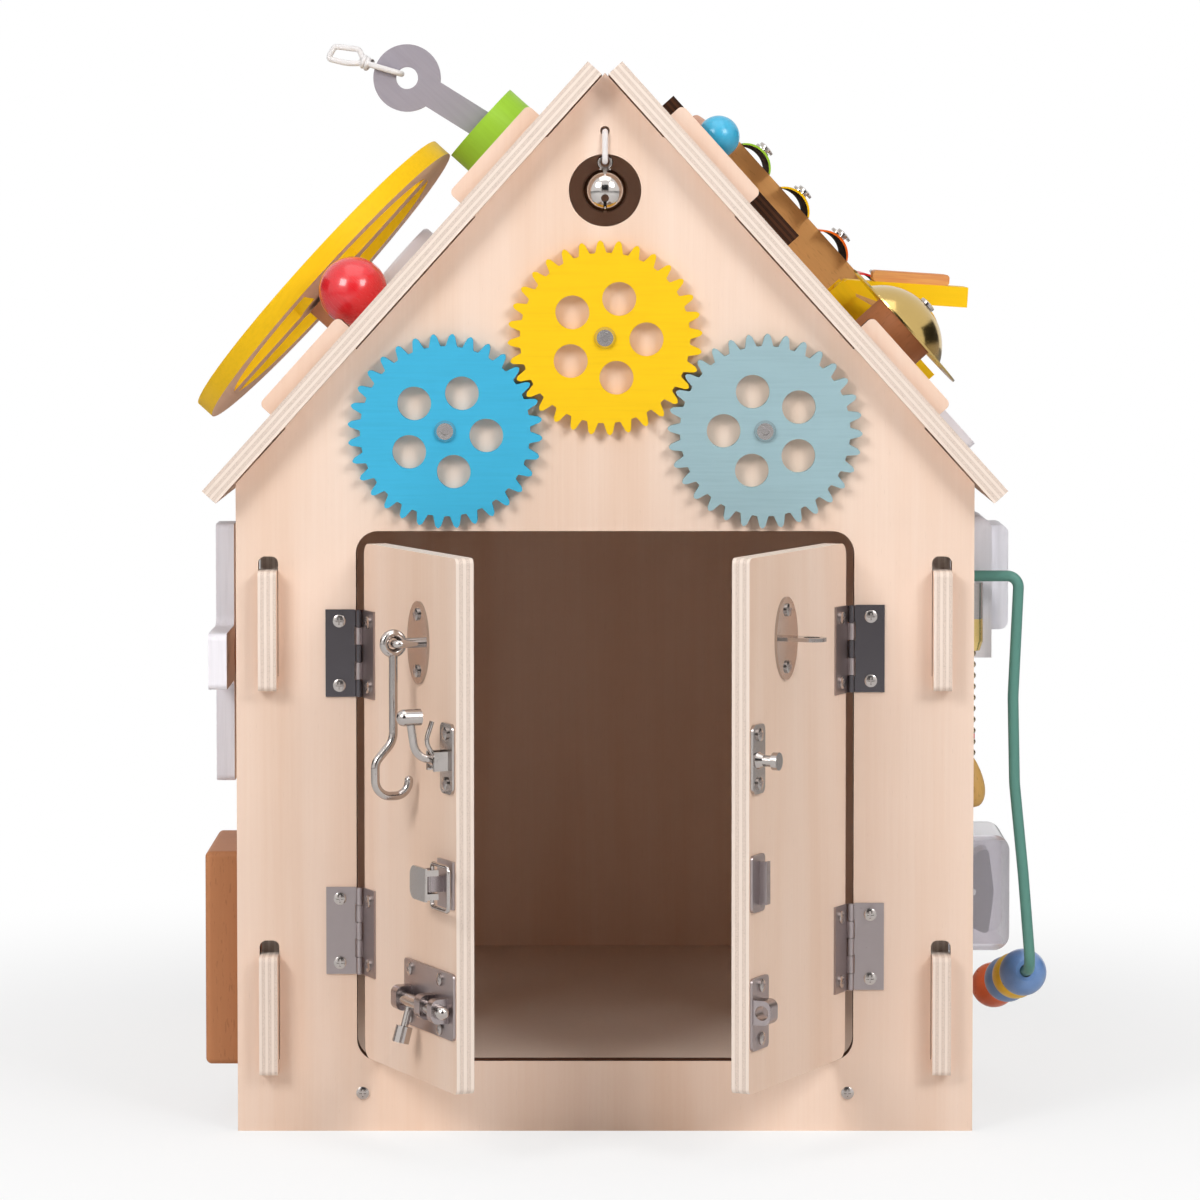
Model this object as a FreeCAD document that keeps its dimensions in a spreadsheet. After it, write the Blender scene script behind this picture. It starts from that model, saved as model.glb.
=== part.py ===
import FreeCAD, Part
import math
import os
import Sketcher
from FreeCAD import Placement, Rotation, Vector

# A wooden activity house for small children: a plywood house on hook tabs, two doors with
# practice locks, meshing gears, and toys on both walls and both roof slopes.
# Millimetres. +Z is up, the doors face -Y, and the origin is the middle of the footprint.

DRIVING_SIZES = {
    "house_width": 320, "wall_span": 300, "house_depth": 340, "ply": 8, "ridge_height": 460,
    "roof_pitch": 48, "roof_length": 250, "roof_overhang": 12, "roof_gap": 0.6,
    "wall_height": 292, "floor_top": 31, "tab_length": 46, "hook_drop": 6, "tab_reach": 9,
    "slot_length": 52, "slot_width": 8.6, "slot_upper": 199, "slot_lower": 31.5,
    "door_opening": 216, "opening_bottom": 30.7, "opening_top": 262, "opening_radius": 9.7,
    "door_width": 103, "door_bottom": 33, "door_top": 257, "left_angle": 65.5, "right_angle": 64.5,
    "hinge_axis": 106.6, "leaf_height": 38, "leaf_width": 14.6, "leaf_thick": 0.8,
    "pin_radius": 0.85, "barrel_radius": 1.65, "running_fit": 0.05,
    "gear_tip": 42, "gear_root": 36.75, "gear_pitch": 40, "gear_teeth": 32, "gear_thick": 5,
    "tooth_thick": 3.3, "gear_hole": 7.3, "gear_hole_ring": 17.9, "gear_height": 345.8,
    "gear_drop": 40.3, "bell_height": 409.4, "bell_radius": 9.8, "bell_opening": 15.65,
    "plate": 1.2, "screw_radius": 2.6, "screw_rise": 1.1,
    "wheel_radius": 80.5, "wheel_thick": 8.5, "fan_reach": 57, "fan_arm": 24.5, "fan_thick": 8,
    "wire_radius": 2.4, "bead_radius": 10.4, "cymbal_radius": 33, "dome_radius": 23,
    "bar_pitch": 26.8, "bar_width": 17.5, "xylophone_length": 96, "clapper_thick": 9, "clapper_base": 12,
}

doc = FreeCAD.newDocument("activity_house")
sheet = doc.addObject("Spreadsheet::Sheet", "Sizes")
for row, (alias, number) in enumerate(DRIVING_SIZES.items(), start=1):
    sheet.set(f"A{row}", alias)
    sheet.set(f"B{row}", str(number))
    sheet.setAlias(f"B{row}", alias)
doc.recompute()

nodes = []


def size(alias):
    """A driving dimension, read from the sheet."""
    return float(getattr(sheet, alias))


def put(thing, name, value):
    """Set a property: text is an expression on the sheet, anything else a plain value."""
    if isinstance(value, str):
        thing.setExpression(name, value)
    else:
        setattr(thing, name, value)


def node(thing, label, place=Placement()):
    """Name a finished sub-part and put it in its place."""
    thing.Label = label
    thing.Placement = place.multiply(thing.Placement)
    nodes.append(thing)
    return thing


def box(length, width, height, corner):
    """A block given by its three lengths and its lowest corner."""
    block = doc.addObject("Part::Box", "Block")
    put(block, "Length", length)
    put(block, "Width", width)
    put(block, "Height", height)
    block.Placement = Placement(Vector(*corner), Rotation())
    return block


def rod(radius, height, base, direction=(0, 0, 1)):
    """A round bar from its base point along a direction."""
    bar = doc.addObject("Part::Cylinder", "Rod")
    put(bar, "Radius", radius)
    put(bar, "Height", height)
    bar.Placement = Placement(Vector(*base), Rotation(Vector(0, 0, 1), Vector(*direction)))
    return bar


def cone(lower, upper, height, base, direction=(0, 0, 1)):
    """A tapered round, such as a pan head."""
    taper = doc.addObject("Part::Cone", "Taper")
    put(taper, "Radius1", lower)
    put(taper, "Radius2", upper)
    put(taper, "Height", height)
    taper.Placement = Placement(Vector(*base), Rotation(Vector(0, 0, 1), Vector(*direction)))
    return taper


def ball(radius, centre):
    """A full ball."""
    sphere = doc.addObject("Part::Sphere", "Ball")
    put(sphere, "Radius", radius)
    sphere.Placement = Placement(Vector(*centre), Rotation())
    return sphere


def ring(major, minor, centre, direction):
    """A ring of round wire."""
    torus = doc.addObject("Part::Torus", "Ring")
    put(torus, "Radius1", major)
    put(torus, "Radius2", minor)
    torus.Placement = Placement(Vector(*centre), Rotation(Vector(0, 0, 1), Vector(*direction)))
    return torus


def union(parts):
    joined = doc.addObject("Part::MultiFuse", "Union")
    joined.Shapes = parts
    joined.Refine = True
    return joined


def minus(base, tool):
    cut = doc.addObject("Part::Cut", "Cut")
    cut.Base = base
    cut.Tool = tool
    return cut


def placed(thing, place):
    """Move a piece by a further placement."""
    thing.Placement = place.multiply(thing.Placement)
    return thing


def group(parts):
    """Pieces of one kind or one job, kept as separate solids of one sub-part."""
    compound = doc.addObject("Part::Compound", "Group")
    compound.Links = parts
    return compound


def rounded(part, radius, wanted):
    """Round the edges of a part that a test picks, by their middle points and directions."""
    doc.recompute()
    fillet = doc.addObject("Part::Fillet", "Rounded")
    fillet.Base = part
    fillet.Edges = [
        (number, radius, radius)
        for number, edge in enumerate(part.Shape.Edges, start=1)
        if wanted(edge)
    ]
    return fillet


def along(axis):
    """A test for straight edges that run along one axis."""
    direction = Vector(*axis)

    def wanted(edge):
        if edge.Curve.TypeId != "Part::GeomLine":
            return False
        return abs(edge.tangentAt(edge.FirstParameter).dot(direction)) > 0.99

    return wanted


def feature(shape):
    """A sub-part whose shape is made directly, such as bent wire."""
    made = doc.addObject("Part::Feature", "Formed")
    made.Shape = shape
    return made


def wire_path(points, radii):
    """Straight runs through points, joined at each inner point by a tangent arc."""
    corners = [Vector(*point) for point in points]
    start = corners[0]
    edges = []
    for before, here, after, radius in zip(corners, corners[1:], corners[2:], radii):
        back = (before - here).normalize()
        ahead = (after - here).normalize()
        half = back.getAngle(ahead) / 2
        reach = radius / math.tan(half)
        inward = (back + ahead).normalize()
        middle = here + inward * (radius / math.sin(half) - radius)
        first, last = here + back * reach, here + ahead * reach
        edges.append(Part.LineSegment(start, first).toShape())
        edges.append(Part.Arc(first, middle, last).toShape())
        start = last
    edges.append(Part.LineSegment(start, corners[-1]).toShape())
    return Part.Wire(edges)


def bent_wire(points, radii, radius):
    """A round wire along straight runs and tangent arcs."""
    path = wire_path(points, radii)
    first = Vector(*points[0])
    heading = Vector(*points[1]) - first
    profile = Part.Wire(Part.Circle(first, heading, radius).toShape())
    return path.makePipeShell([profile], True, False)


def new_body(label, place=Placement()):
    """A sub-part made of sketches and pads; without a label it is one piece of a group."""
    body = doc.addObject("PartDesign::Body", "Body")
    body.Placement = place
    return node(body, label) if label else body


def new_sketch(body, role, offset=0):
    """A sketch on one of the body's own origin planes, or parallel to it."""
    drawn = body.newObject("Sketcher::SketchObject", "Outline")
    plane = next(item for item in body.Origin.OriginFeatures if item.Role == role)
    drawn.AttachmentSupport = [(plane, "")]
    drawn.MapMode = "FlatFace"
    drawn.AttachmentOffset = Placement(Vector(0, 0, offset), Rotation())
    return drawn


def loop(drawn, corners):
    """A closed outline; a third number rounds that corner."""
    flat = [Vector(corner[0], corner[1], 0) for corner in corners]
    turns = []
    for index, corner in enumerate(corners):
        here = flat[index]
        radius = corner[2] if len(corner) > 2 else 0
        if not radius:
            turns.append((here, None, here))
            continue
        back = (flat[index - 1] - here).normalize()
        ahead = (flat[(index + 1) % len(flat)] - here).normalize()
        half = back.getAngle(ahead) / 2
        reach = radius / math.tan(half)
        inward = (back + ahead).normalize()
        middle = here + inward * (radius / math.sin(half) - radius)
        turns.append((here + back * reach, middle, here + ahead * reach))
    pieces = []
    for (first, middle, last), following in zip(turns, turns[1:] + turns[:1]):
        if middle is not None:
            pieces.append(Part.Arc(first, middle, last))
        if (following[0] - last).Length > 1e-6:
            pieces.append(Part.LineSegment(last, following[0]))
    drawn.addGeometry(pieces, False)


def circle(drawn, centre, radius):
    """A round hole or rim; a radius given as text follows the sheet."""
    value = size(radius.split(".")[1]) if isinstance(radius, str) else radius
    index = drawn.addGeometry(Part.Circle(Vector(*centre, 0), Vector(0, 0, 1), value), False)
    place = drawn.addConstraint(Sketcher.Constraint("Radius", index, value))
    if isinstance(radius, str):
        drawn.setExpression(f"Constraints[{place}]", radius)


def rectangle(left, low, right, high, radius=0):
    return [(left, low, radius), (right, low, radius), (right, high, radius), (left, high, radius)]


def pad(body, drawn, length, reverse=False):
    made = body.newObject("PartDesign::Pad", "Pad")
    made.Profile = drawn
    put(made, "Length", length)
    made.Reversed = reverse
    return made


def revolve(body, drawn):
    """Turn a profile once round its sketch's vertical axis."""
    turned = body.newObject("PartDesign::Revolution", "Turned")
    turned.Profile = drawn
    turned.ReferenceAxis = (drawn, ["V_Axis"])
    return turned


half_width = size("house_width") / 2
half_span = size("wall_span") / 2
half_depth = size("house_depth") / 2
ply = size("ply")
ridge = size("ridge_height")
pitch = math.radians(size("roof_pitch"))
roof_base = size("roof_gap")
roof_top = roof_base + ply
front = -half_depth
panel_back = half_depth - ply
slot_middle = half_span - ply / 2


def slope_point(side, down, out, radius=0):
    """A point in the gable's plane, from the ridge down a slope and out from it."""
    across = down * math.cos(pitch) + out * math.sin(pitch)
    height = ridge - down * math.sin(pitch) + out * math.cos(pitch)
    return (side * across, height, radius)


ROOF_HOOKS = (37.5, 160.5)
HOOK_RISE = 7
HOOK_OVERHANG = 5
HOOK_ROUND = 2.6


def gable_side(side):
    """One slope of a gable from the ridge down, with its two hooked tabs."""
    points = []
    for start in ROOF_HOOKS:
        end = start + size("tab_length")
        points += [
            slope_point(side, start, 0),
            slope_point(side, start, roof_top),
            slope_point(side, start - HOOK_OVERHANG, roof_top),
            slope_point(side, start - HOOK_OVERHANG, roof_top + HOOK_RISE, HOOK_ROUND),
            slope_point(side, end, roof_top + HOOK_RISE, HOOK_ROUND),
            slope_point(side, end, 0),
        ]
    return points


def wall_slots(drawn):
    """Slots with round tops; their square lower ends are behind the hooks that sit in them."""
    half_slot = size("slot_width") / 2
    for side in (-1, 1):
        for low in (size("slot_lower"), size("slot_upper")):
            middle = side * slot_middle
            high = low + size("slot_length")
            left, right = middle - half_slot, middle + half_slot
            loop(drawn, [(left, low), (right, low), (right, high, 3), (left, high, 3)])


def gable_outline(drawn):
    eave = ridge - half_width * math.tan(pitch)
    rising = [(-half_width, 0), (half_width, 0), (half_width, eave)] + gable_side(1)[::-1]
    falling = gable_side(-1) + [(-half_width, eave)]
    loop(drawn, rising + [(0, ridge)] + falling)


def front_panel():
    body = new_body("front_panel", Placement(Vector(0, front + ply, 0), Rotation()))
    drawn = new_sketch(body, "XZ_Plane")
    gable_outline(drawn)
    wall_slots(drawn)
    half_door = size("door_opening") / 2
    low, high = size("opening_bottom"), size("opening_top")
    loop(drawn, rectangle(-half_door, low, half_door, high, size("opening_radius")))
    circle(drawn, (0, size("bell_height")), "Sizes.bell_opening")
    circle(drawn, (0, size("bell_height") + 25.6), 2.05)
    pad(body, drawn, "Sizes.ply")


def back_panel():
    body = new_body("back_panel", Placement(Vector(0, half_depth, 0), Rotation()))
    drawn = new_sketch(body, "XZ_Plane")
    gable_outline(drawn)
    wall_slots(drawn)
    pad(body, drawn, "Sizes.ply")


def wall(label, left):
    """A side wall, with two hooked tabs at each end."""
    body = new_body(label, Placement(Vector(left, 0, 0), Rotation()))
    drawn = new_sketch(body, "YZ_Plane")
    reach = half_depth + size("tab_reach")
    length, drop = size("tab_length"), size("hook_drop")
    lows = (size("slot_lower"), size("slot_upper"))
    rising = [(panel_back, 0)]
    for low in lows:
        rising += [
            (panel_back, low),
            (half_depth, low),
            (half_depth, low - drop),
            (reach, low - drop, HOOK_ROUND),
            (reach, low + length, HOOK_ROUND),
            (panel_back, low + length),
        ]
    rising.append((panel_back, size("wall_height")))
    falling = [(-point[0], *point[1:]) for point in rising[::-1]]
    loop(drawn, rising + falling)
    pad(body, drawn, "Sizes.ply")


def floor():
    inner = half_span - ply
    body = new_body(None, Placement(Vector(0, 0, size("floor_top") - ply), Rotation()))
    drawn = new_sketch(body, "XY_Plane")
    loop(drawn, rectangle(-inner, -panel_back, inner, panel_back))
    pad(body, drawn, "Sizes.ply")
    # three battens carry the panel, and the house stands on them and on its lower edges
    battens = [
        box(220, 14, size("floor_top") - ply, (-110, corner, 0))
        for corner in (-panel_back, -7, panel_back - 14)
    ]
    node(group([body, *battens]), "floor_panel")


def roof_place(side):
    """The frame of a slope: Y stays, Z is the slope's normal, and X lies along the slope."""
    turn = side * size("roof_pitch")
    return Placement(Vector(0, 0, ridge), Rotation(Vector(0, 1, 0), turn))


def roof(label, side):
    place = roof_place(side)
    body = new_body(label, place)
    drawn = new_sketch(body, "XY_Plane", roof_base)
    half_roof = half_depth + size("roof_overhang")
    low, high = sorted((side * 1.5, side * size("roof_length")))
    loop(drawn, rectangle(low, -half_roof, high, half_roof))
    half_slot = (ply + 0.4) / 2
    for start in ROOF_HOOKS:
        near, far = sorted((side * start, side * (start + size("tab_length") + HOOK_OVERHANG + 0.5)))
        for middle in (front + ply / 2, -front - ply / 2):
            loop(drawn, rectangle(near, middle - half_slot, far, middle + half_slot))
    pad(body, drawn, "Sizes.ply")


def screw(base, direction):
    """A pan head on the surface that it holds."""
    return cone("Sizes.screw_radius", 1.7, "Sizes.screw_rise", base, direction)


# The doors turn on these axes; a door's own frame has its origin on its hinge axis, X across
# the house and -Y out of the closed door.

AXIS_Y = front - size("barrel_radius")
DOOR_FACE = size("barrel_radius")
DOOR_GAP = 1.8
LEFT_HINGES = (88, 209)
RIGHT_HINGES = (81, 211)
KNUCKLES = 5
KNUCKLE_GAP = 0.3
SCREW_SPREAD = 14
SCREW_ACROSS = 8.6
LATCH_PLATE = 1.4


def door_place(side):
    """Side 1 is the left door, whose width runs along +X from its axis."""
    angle = size("left_angle") if side > 0 else size("right_angle")
    origin = Vector(-side * size("hinge_axis"), AXIS_Y, 0)
    return Placement(origin, Rotation(Vector(0, 0, 1), -side * angle))


def closed_place(side):
    return Placement(Vector(-side * size("hinge_axis"), AXIS_Y, 0), Rotation())


def span(side, near, far):
    """The lowest X and the length of a stretch measured out from a hinge axis."""
    return min(side * near, side * far), abs(far - near)


def plate_box(side, near, far, low, high, under, over):
    """A block on a door: across, up, and out from the door's face."""
    left, length = span(side, near, far)
    return box(length, over - under, high - low, (left, DOOR_FACE - over, low))


def hinge_leaf(side, middle, own, pinned):
    """One leaf with its knuckles round the pin; the frame's leaf also holds the pin."""
    height = size("leaf_height")
    low = middle - height / 2
    radius = size("barrel_radius")
    reach = side if own == "door" else -side
    left, length = span(reach, 2.0, size("leaf_width"))
    thick = size("leaf_thick")
    pieces = [box(length, thick, height, (left, radius - thick, low))]
    step = height / KNUCKLES
    for index in range(KNUCKLES):
        if (index % 2 == 1) != (own == "door"):
            continue
        base = low + index * step + KNUCKLE_GAP / 2
        rise = step - KNUCKLE_GAP
        root_left, root_length = span(reach, 0, 2.1)
        pieces.append(rod(radius, rise, (0, 0, base)))
        pieces.append(box(root_length, thick, rise, (root_left, radius - thick, base)))
    leaf = union(pieces)
    if pinned:
        return union([leaf, rod("Sizes.pin_radius", height, (0, 0, low))])
    bore = rod("Sizes.pin_radius + Sizes.running_fit", height + 2, (0, 0, low - 1))
    return minus(leaf, bore)


def hinges():
    """Four butt hinges; the doors' leaves share a sub-part with the screws of each door."""
    frame = []
    for side, middles, name in ((1, LEFT_HINGES, "left"), (-1, RIGHT_HINGES, "right")):
        for middle in middles:
            frame.append(placed(hinge_leaf(side, middle, "frame", True), closed_place(side)))
        doors = [hinge_leaf(side, middle, "door", False) for middle in middles]
        node(group(doors + door_screws(side)), f"{name}_door_hinges", door_place(side))
    node(group(frame), "frame_hinges")


def door(label, side):
    body = new_body(label, door_place(side))
    drawn = new_sketch(body, "XZ_Plane", -DOOR_FACE)
    near, far = side * DOOR_GAP, side * (DOOR_GAP + size("door_width"))
    low, high = size("door_bottom"), size("door_top")
    corners = [(near, low, 5.2), (far, low, 2.5), (far, high, 2.5), (near, high, 5.2)]
    loop(drawn, corners if side > 0 else corners[::-1])
    pad(body, drawn, "Sizes.ply", True)


def oval_plate(side, across, height):
    """The upright oval plate of an eye or a staple."""
    oval = doc.addObject("Part::Ellipse", "Oval")
    oval.MajorRadius = 17.5
    oval.MinorRadius = 11
    upright = Rotation(Vector(1, 0, 0), 90).multiply(Rotation(Vector(0, 0, 1), 90))
    oval.Placement = Placement(Vector(side * across, DOOR_FACE, height), upright)
    plate = doc.addObject("Part::Extrusion", "Plate")
    plate.Base = oval
    plate.Dir = Vector(0, -1, 0)
    plate.DirMode = "Custom"
    put(plate, "LengthFwd", "Sizes.plate")
    plate.Solid = True
    return plate


HOOK_ACROSS = 65
HOOK_HEIGHT = 219
HOOK_OUT = 12
STAPLE_HALF = 4.5


def out(height_over_face):
    """The Y of a point that stands out from a door's face."""
    return DOOR_FACE - height_over_face


def hook_staple():
    left, right = HOOK_ACROSS - STAPLE_HALF, HOOK_ACROSS + STAPLE_HALF
    route = [(left, out(0.6), HOOK_HEIGHT), (left, out(HOOK_OUT), HOOK_HEIGHT)]
    route += [(right, out(HOOK_OUT), HOOK_HEIGHT), (right, out(0.6), HOOK_HEIGHT)]
    staple = feature(bent_wire(route, (1.8, 1.8), 1.7))
    whole = union([oval_plate(1, HOOK_ACROSS, HOOK_HEIGHT), staple])
    node(whole, "hook_staple", door_place(1))


def cabin_hook():
    """A ring round the staple's bar, a straight shank, and the open hook at its foot."""
    eye = ring(4.15, 1.85, (HOOK_ACROSS, out(HOOK_OUT), HOOK_HEIGHT), (1, 0, 0))
    profile = [(HOOK_OUT, 214.2), (HOOK_OUT, 178), (20.2, 169), (20.2, 154.6), (5, 154.6), (5, 161)]
    route = [(HOOK_ACROSS, out(stand), height) for stand, height in profile]
    shank = feature(bent_wire(route, (9, 6, 7, 6), 1.85))
    tip = ball(1.85, (HOOK_ACROSS, out(5), 161))
    node(union([eye, shank, tip]), "cabin_hook", door_place(1))


LATCH_ACROSS = 97
LATCH_HEIGHT = 172.5
LATCH_OUT = 6
TOGGLE_ACROSS = 92
TOGGLE_HEIGHT = 120.5
TOGGLE_OUT = 7
BAIL_ACROSS = 95.4
BOLT_HEIGHT = 67.5
BOLT_OUT = 5.2
BOLT_RADIUS = 3


def latch_base():
    """A plate with two ears and the pin between them."""
    base = plate_box(1, 90.5, 103.6, 158.5, 188, 0, 1.4)
    plate = rounded(base, 3, along((0, 1, 0)))
    ears = []
    for near in (92.6, 100):
        ears.append(plate_box(1, near, near + 1.4, 168.5, 176.5, 1.0, 8.4))
    pin = rod(1.2, 9, (92.5, out(LATCH_OUT), LATCH_HEIGHT), (1, 0, 0))
    node(union([plate, *ears, pin]), "latch_base", door_place(1))


def latch_arm():
    """A hub on the pin, a curved arm with a round striker, and a thin trigger."""
    hub = rod(2.7, 5.2, (LATCH_ACROSS - 2.6, out(LATCH_OUT), LATCH_HEIGHT), (1, 0, 0))
    profile = [(LATCH_OUT + 1, 173), (15, 174), (17.5, 190.6)]
    route = [(LATCH_ACROSS, out(stand), height) for stand, height in profile]
    arm = feature(bent_wire(route, (8,), 1.7))
    striker = rod(3.5, 7, (LATCH_ACROSS, out(13), 191), (0, -1, 0))
    nose = ball(3.5, (LATCH_ACROSS, out(20), 191))
    profile = [(LATCH_OUT + 0.5, 174), (10.5, 180.5), (7.6, 189)]
    route = [(LATCH_ACROSS, out(stand), height) for stand, height in profile]
    trigger = feature(bent_wire(route, (6,), 1.0))
    whole = union([hub, arm, striker, nose, trigger])
    bore = rod(1.25, 8, (LATCH_ACROSS - 4, out(LATCH_OUT), LATCH_HEIGHT), (1, 0, 0))
    node(minus(whole, bore), "latch_arm", door_place(1))


def toggle_latch():
    """A draw latch: base with its lug and pin, lever with finger tab, and wire bail."""
    place = door_place(1)
    plate = plate_box(1, 87, 103.5, 110.5, 130.5, 0, 1.2)
    stand = plate_box(1, TOGGLE_ACROSS - 2.6, TOGGLE_ACROSS + 2.6, 117.2, 123.8, 1.2, TOGGLE_OUT)
    lug = rod(2.6, 6.6, (TOGGLE_ACROSS, out(TOGGLE_OUT), 117.2))
    pin = rod(1.1, 13.2, (TOGGLE_ACROSS, out(TOGGLE_OUT), 113.9))
    # the lug is riveted to its plate and stands square on it
    node(group([plate, union([stand, lug, pin])]), "toggle_base", place)

    web = plate_box(1, 80, 97, 113.5, 127.5, TOGGLE_OUT + 2.8, TOGGLE_OUT + 3.8)
    tab = rounded(web, 4.5, lambda edge: along((0, 1, 0))(edge) and edge.CenterOfMass.x < 85)
    cheeks = [
        plate_box(1, 89, 97, low, low + 2.6, TOGGLE_OUT - 2.2, TOGGLE_OUT + 3) for low in (114.2, 124.2)
    ]
    bores = [
        rod(radius, 20, (across, out(TOGGLE_OUT), 110))
        for radius, across in ((1.15, TOGGLE_ACROSS), (0.95, BAIL_ACROSS))
    ]
    node(minus(union([tab, *cheeks]), union(bores)), "toggle_lever", place)

    low, high = TOGGLE_HEIGHT - 9.2, TOGGLE_HEIGHT + 9.2
    end = BAIL_ACROSS + 17.8
    route = [
        (BAIL_ACROSS, 116.4), (BAIL_ACROSS, low), (end, low), (end, high),
        (BAIL_ACROSS, high), (BAIL_ACROSS, 124.6),
    ]
    points = [(across, out(TOGGLE_OUT), height) for across, height in route]
    node(feature(bent_wire(points, (1.9, 2.4, 2.4, 1.9), 0.9)), "toggle_bail", place)


def bolt_tunnel(side, near, far):
    """A block bent over the bolt, open through its length."""
    block = plate_box(side, near, far, BOLT_HEIGHT - 5.2, BOLT_HEIGHT + 5.2, 1, 9)
    strap = rounded(block, 3.2, lambda edge: along((1, 0, 0))(edge) and edge.CenterOfMass.y < out(5))
    left, length = span(side, near - 1, far + 1)
    bore = rod(BOLT_RADIUS + size("running_fit"), length, (left, out(BOLT_OUT), BOLT_HEIGHT), (1, 0, 0))
    return minus(strap, bore)


def barrel_bolt():
    plate = plate_box(1, 50, 104, 55.5, 83.5, 0, 1.2)
    tunnels = [bolt_tunnel(1, 54, 60), bolt_tunnel(1, 80, 86), bolt_tunnel(1, 94, 99)]
    node(union([rounded(plate, 2, along((0, 1, 0))), *tunnels]), "bolt_plate", door_place(1))
    axis = (52, out(BOLT_OUT), BOLT_HEIGHT)
    shaft = rod(BOLT_RADIUS, 50, axis, (1, 0, 0))
    end = ball(BOLT_RADIUS, (102, out(BOLT_OUT), BOLT_HEIGHT))
    lean = Vector(0, -0.27, -1).normalize()
    root = Vector(67, out(BOLT_OUT), BOLT_HEIGHT)
    neck = rod(1.6, 12, tuple(root), tuple(lean))
    knob = rod(3.6, 7, tuple(root + lean * 11), tuple(lean))
    node(union([shaft, end, neck, knob]), "bolt_rod", door_place(1))


def right_hardware():
    place = door_place(-1)
    # a flat tongue with an eye stands straight out of its oval plate
    tongue = plate_box(-1, 62.5, 73.5, 220.2, 221.8, 0.6, 18.4)
    tongue = rounded(tongue, 5, lambda edge: along((0, 0, 1))(edge) and edge.CenterOfMass.y < out(9))
    eye = minus(tongue, rod(3.5, 6, (-68, out(12.4), 218)))
    node(union([oval_plate(-1, 68, 221), eye]), "eye_plate", place)

    plate = rounded(plate_box(-1, 91.5, 104, 158.5, 187.5, 0, 1.4), 3, along((0, 1, 0)))
    axis = (-98.5, out(1), LATCH_HEIGHT)
    stem = rod(2.4, 8, axis, (0, -1, 0))
    head = rod(3.75, 2.6, (-98.5, out(8.2), LATCH_HEIGHT), (0, -1, 0))
    collar = cone(3.9, 2.4, 3, axis, (0, -1, 0))
    node(union([plate, stem, collar, head]), "latch_stud", place)

    plate = plate_box(-1, 91, 104, 109, 133, 0, 1.2)
    rise = plate_box(-1, 96, 97.2, 112, 130, 1, 4.6)
    lip = plate_box(-1, 93.4, 97.2, 112, 130, 3.4, 4.6)
    node(union([rounded(plate, 2, along((0, 1, 0))), rise, lip]), "toggle_keeper", place)

    plate = rounded(plate_box(-1, 87, 104, 51, 81.5, 0, 1.2), 2, along((0, 1, 0)))
    node(union([plate, bolt_tunnel(-1, 95.5, 103.5)]), "bolt_keeper", place)


def door_screws(side):
    """Pan heads on a door's leaves and on the plates of its locks."""
    outward = (0, -1, 0)
    heads = []
    for middle in LEFT_HINGES if side > 0 else RIGHT_HINGES:
        for height in (middle - SCREW_SPREAD, middle + SCREW_SPREAD):
            heads.append(screw((side * SCREW_ACROSS, out(size("leaf_thick")), height), outward))
    thin, thick = size("plate"), LATCH_PLATE
    if side > 0:
        spots = [(65, 207, thin), (65, 231, thin), (97, 162.8, thick), (97, 183.8, thick)]
        spots += [(across, height, thin) for across in (57, 90) for height in (59, 79.7)]
    else:
        spots = [(68, 209, thin), (68, 233, thin), (98, 162.8, thick), (98, 183.2, thick)]
        spots += [(95, 55.5, thin), (95, 77.8, thin)]
    for across, height, stand in spots:
        heads.append(screw((side * across, out(stand), height), outward))
    return heads


def house_screws(others):
    """The heads on the house itself: hinge leaves, floor, and those of the roof's toys."""
    heads = list(others)
    for side, middles in ((1, LEFT_HINGES), (-1, RIGHT_HINGES)):
        across = -side * (size("hinge_axis") + SCREW_ACROSS)
        for middle in middles:
            for height in (middle - SCREW_SPREAD, middle + SCREW_SPREAD):
                heads.append(screw((across, front - size("leaf_thick"), height), (0, -1, 0)))
    for across in (-105.6, 105.6):
        heads.append(screw((across, front, 16.7), (0, -1, 0)))
        heads.append(screw((across, half_depth, 16.7), (0, 1, 0)))
    node(group(heads), "house_screws")


GEAR_CLEAR = 0.4
GEAR_CENTRES = {
    "gear_blue": (-69.1, size("gear_height") - size("gear_drop")),
    "gear_yellow": (0, size("gear_height")),
    "gear_grey": (69.1, size("gear_height") - size("gear_drop")),
}


def involute(angle):
    return math.tan(angle) - angle


def tooth_half_angle(radius):
    """Half the angle that a tooth fills at a radius, for 20 degree involute flanks."""
    pressure = math.radians(20)
    base = size("gear_pitch") * math.cos(pressure)
    local = math.acos(min(1, base / radius))
    thick = size("tooth_thick") / size("gear_pitch") + 2 * (involute(pressure) - involute(local))
    return thick / 2


def polar(centre, radius, angle):
    return (centre[0] + radius * math.cos(angle), centre[1] + radius * math.sin(angle))


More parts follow.
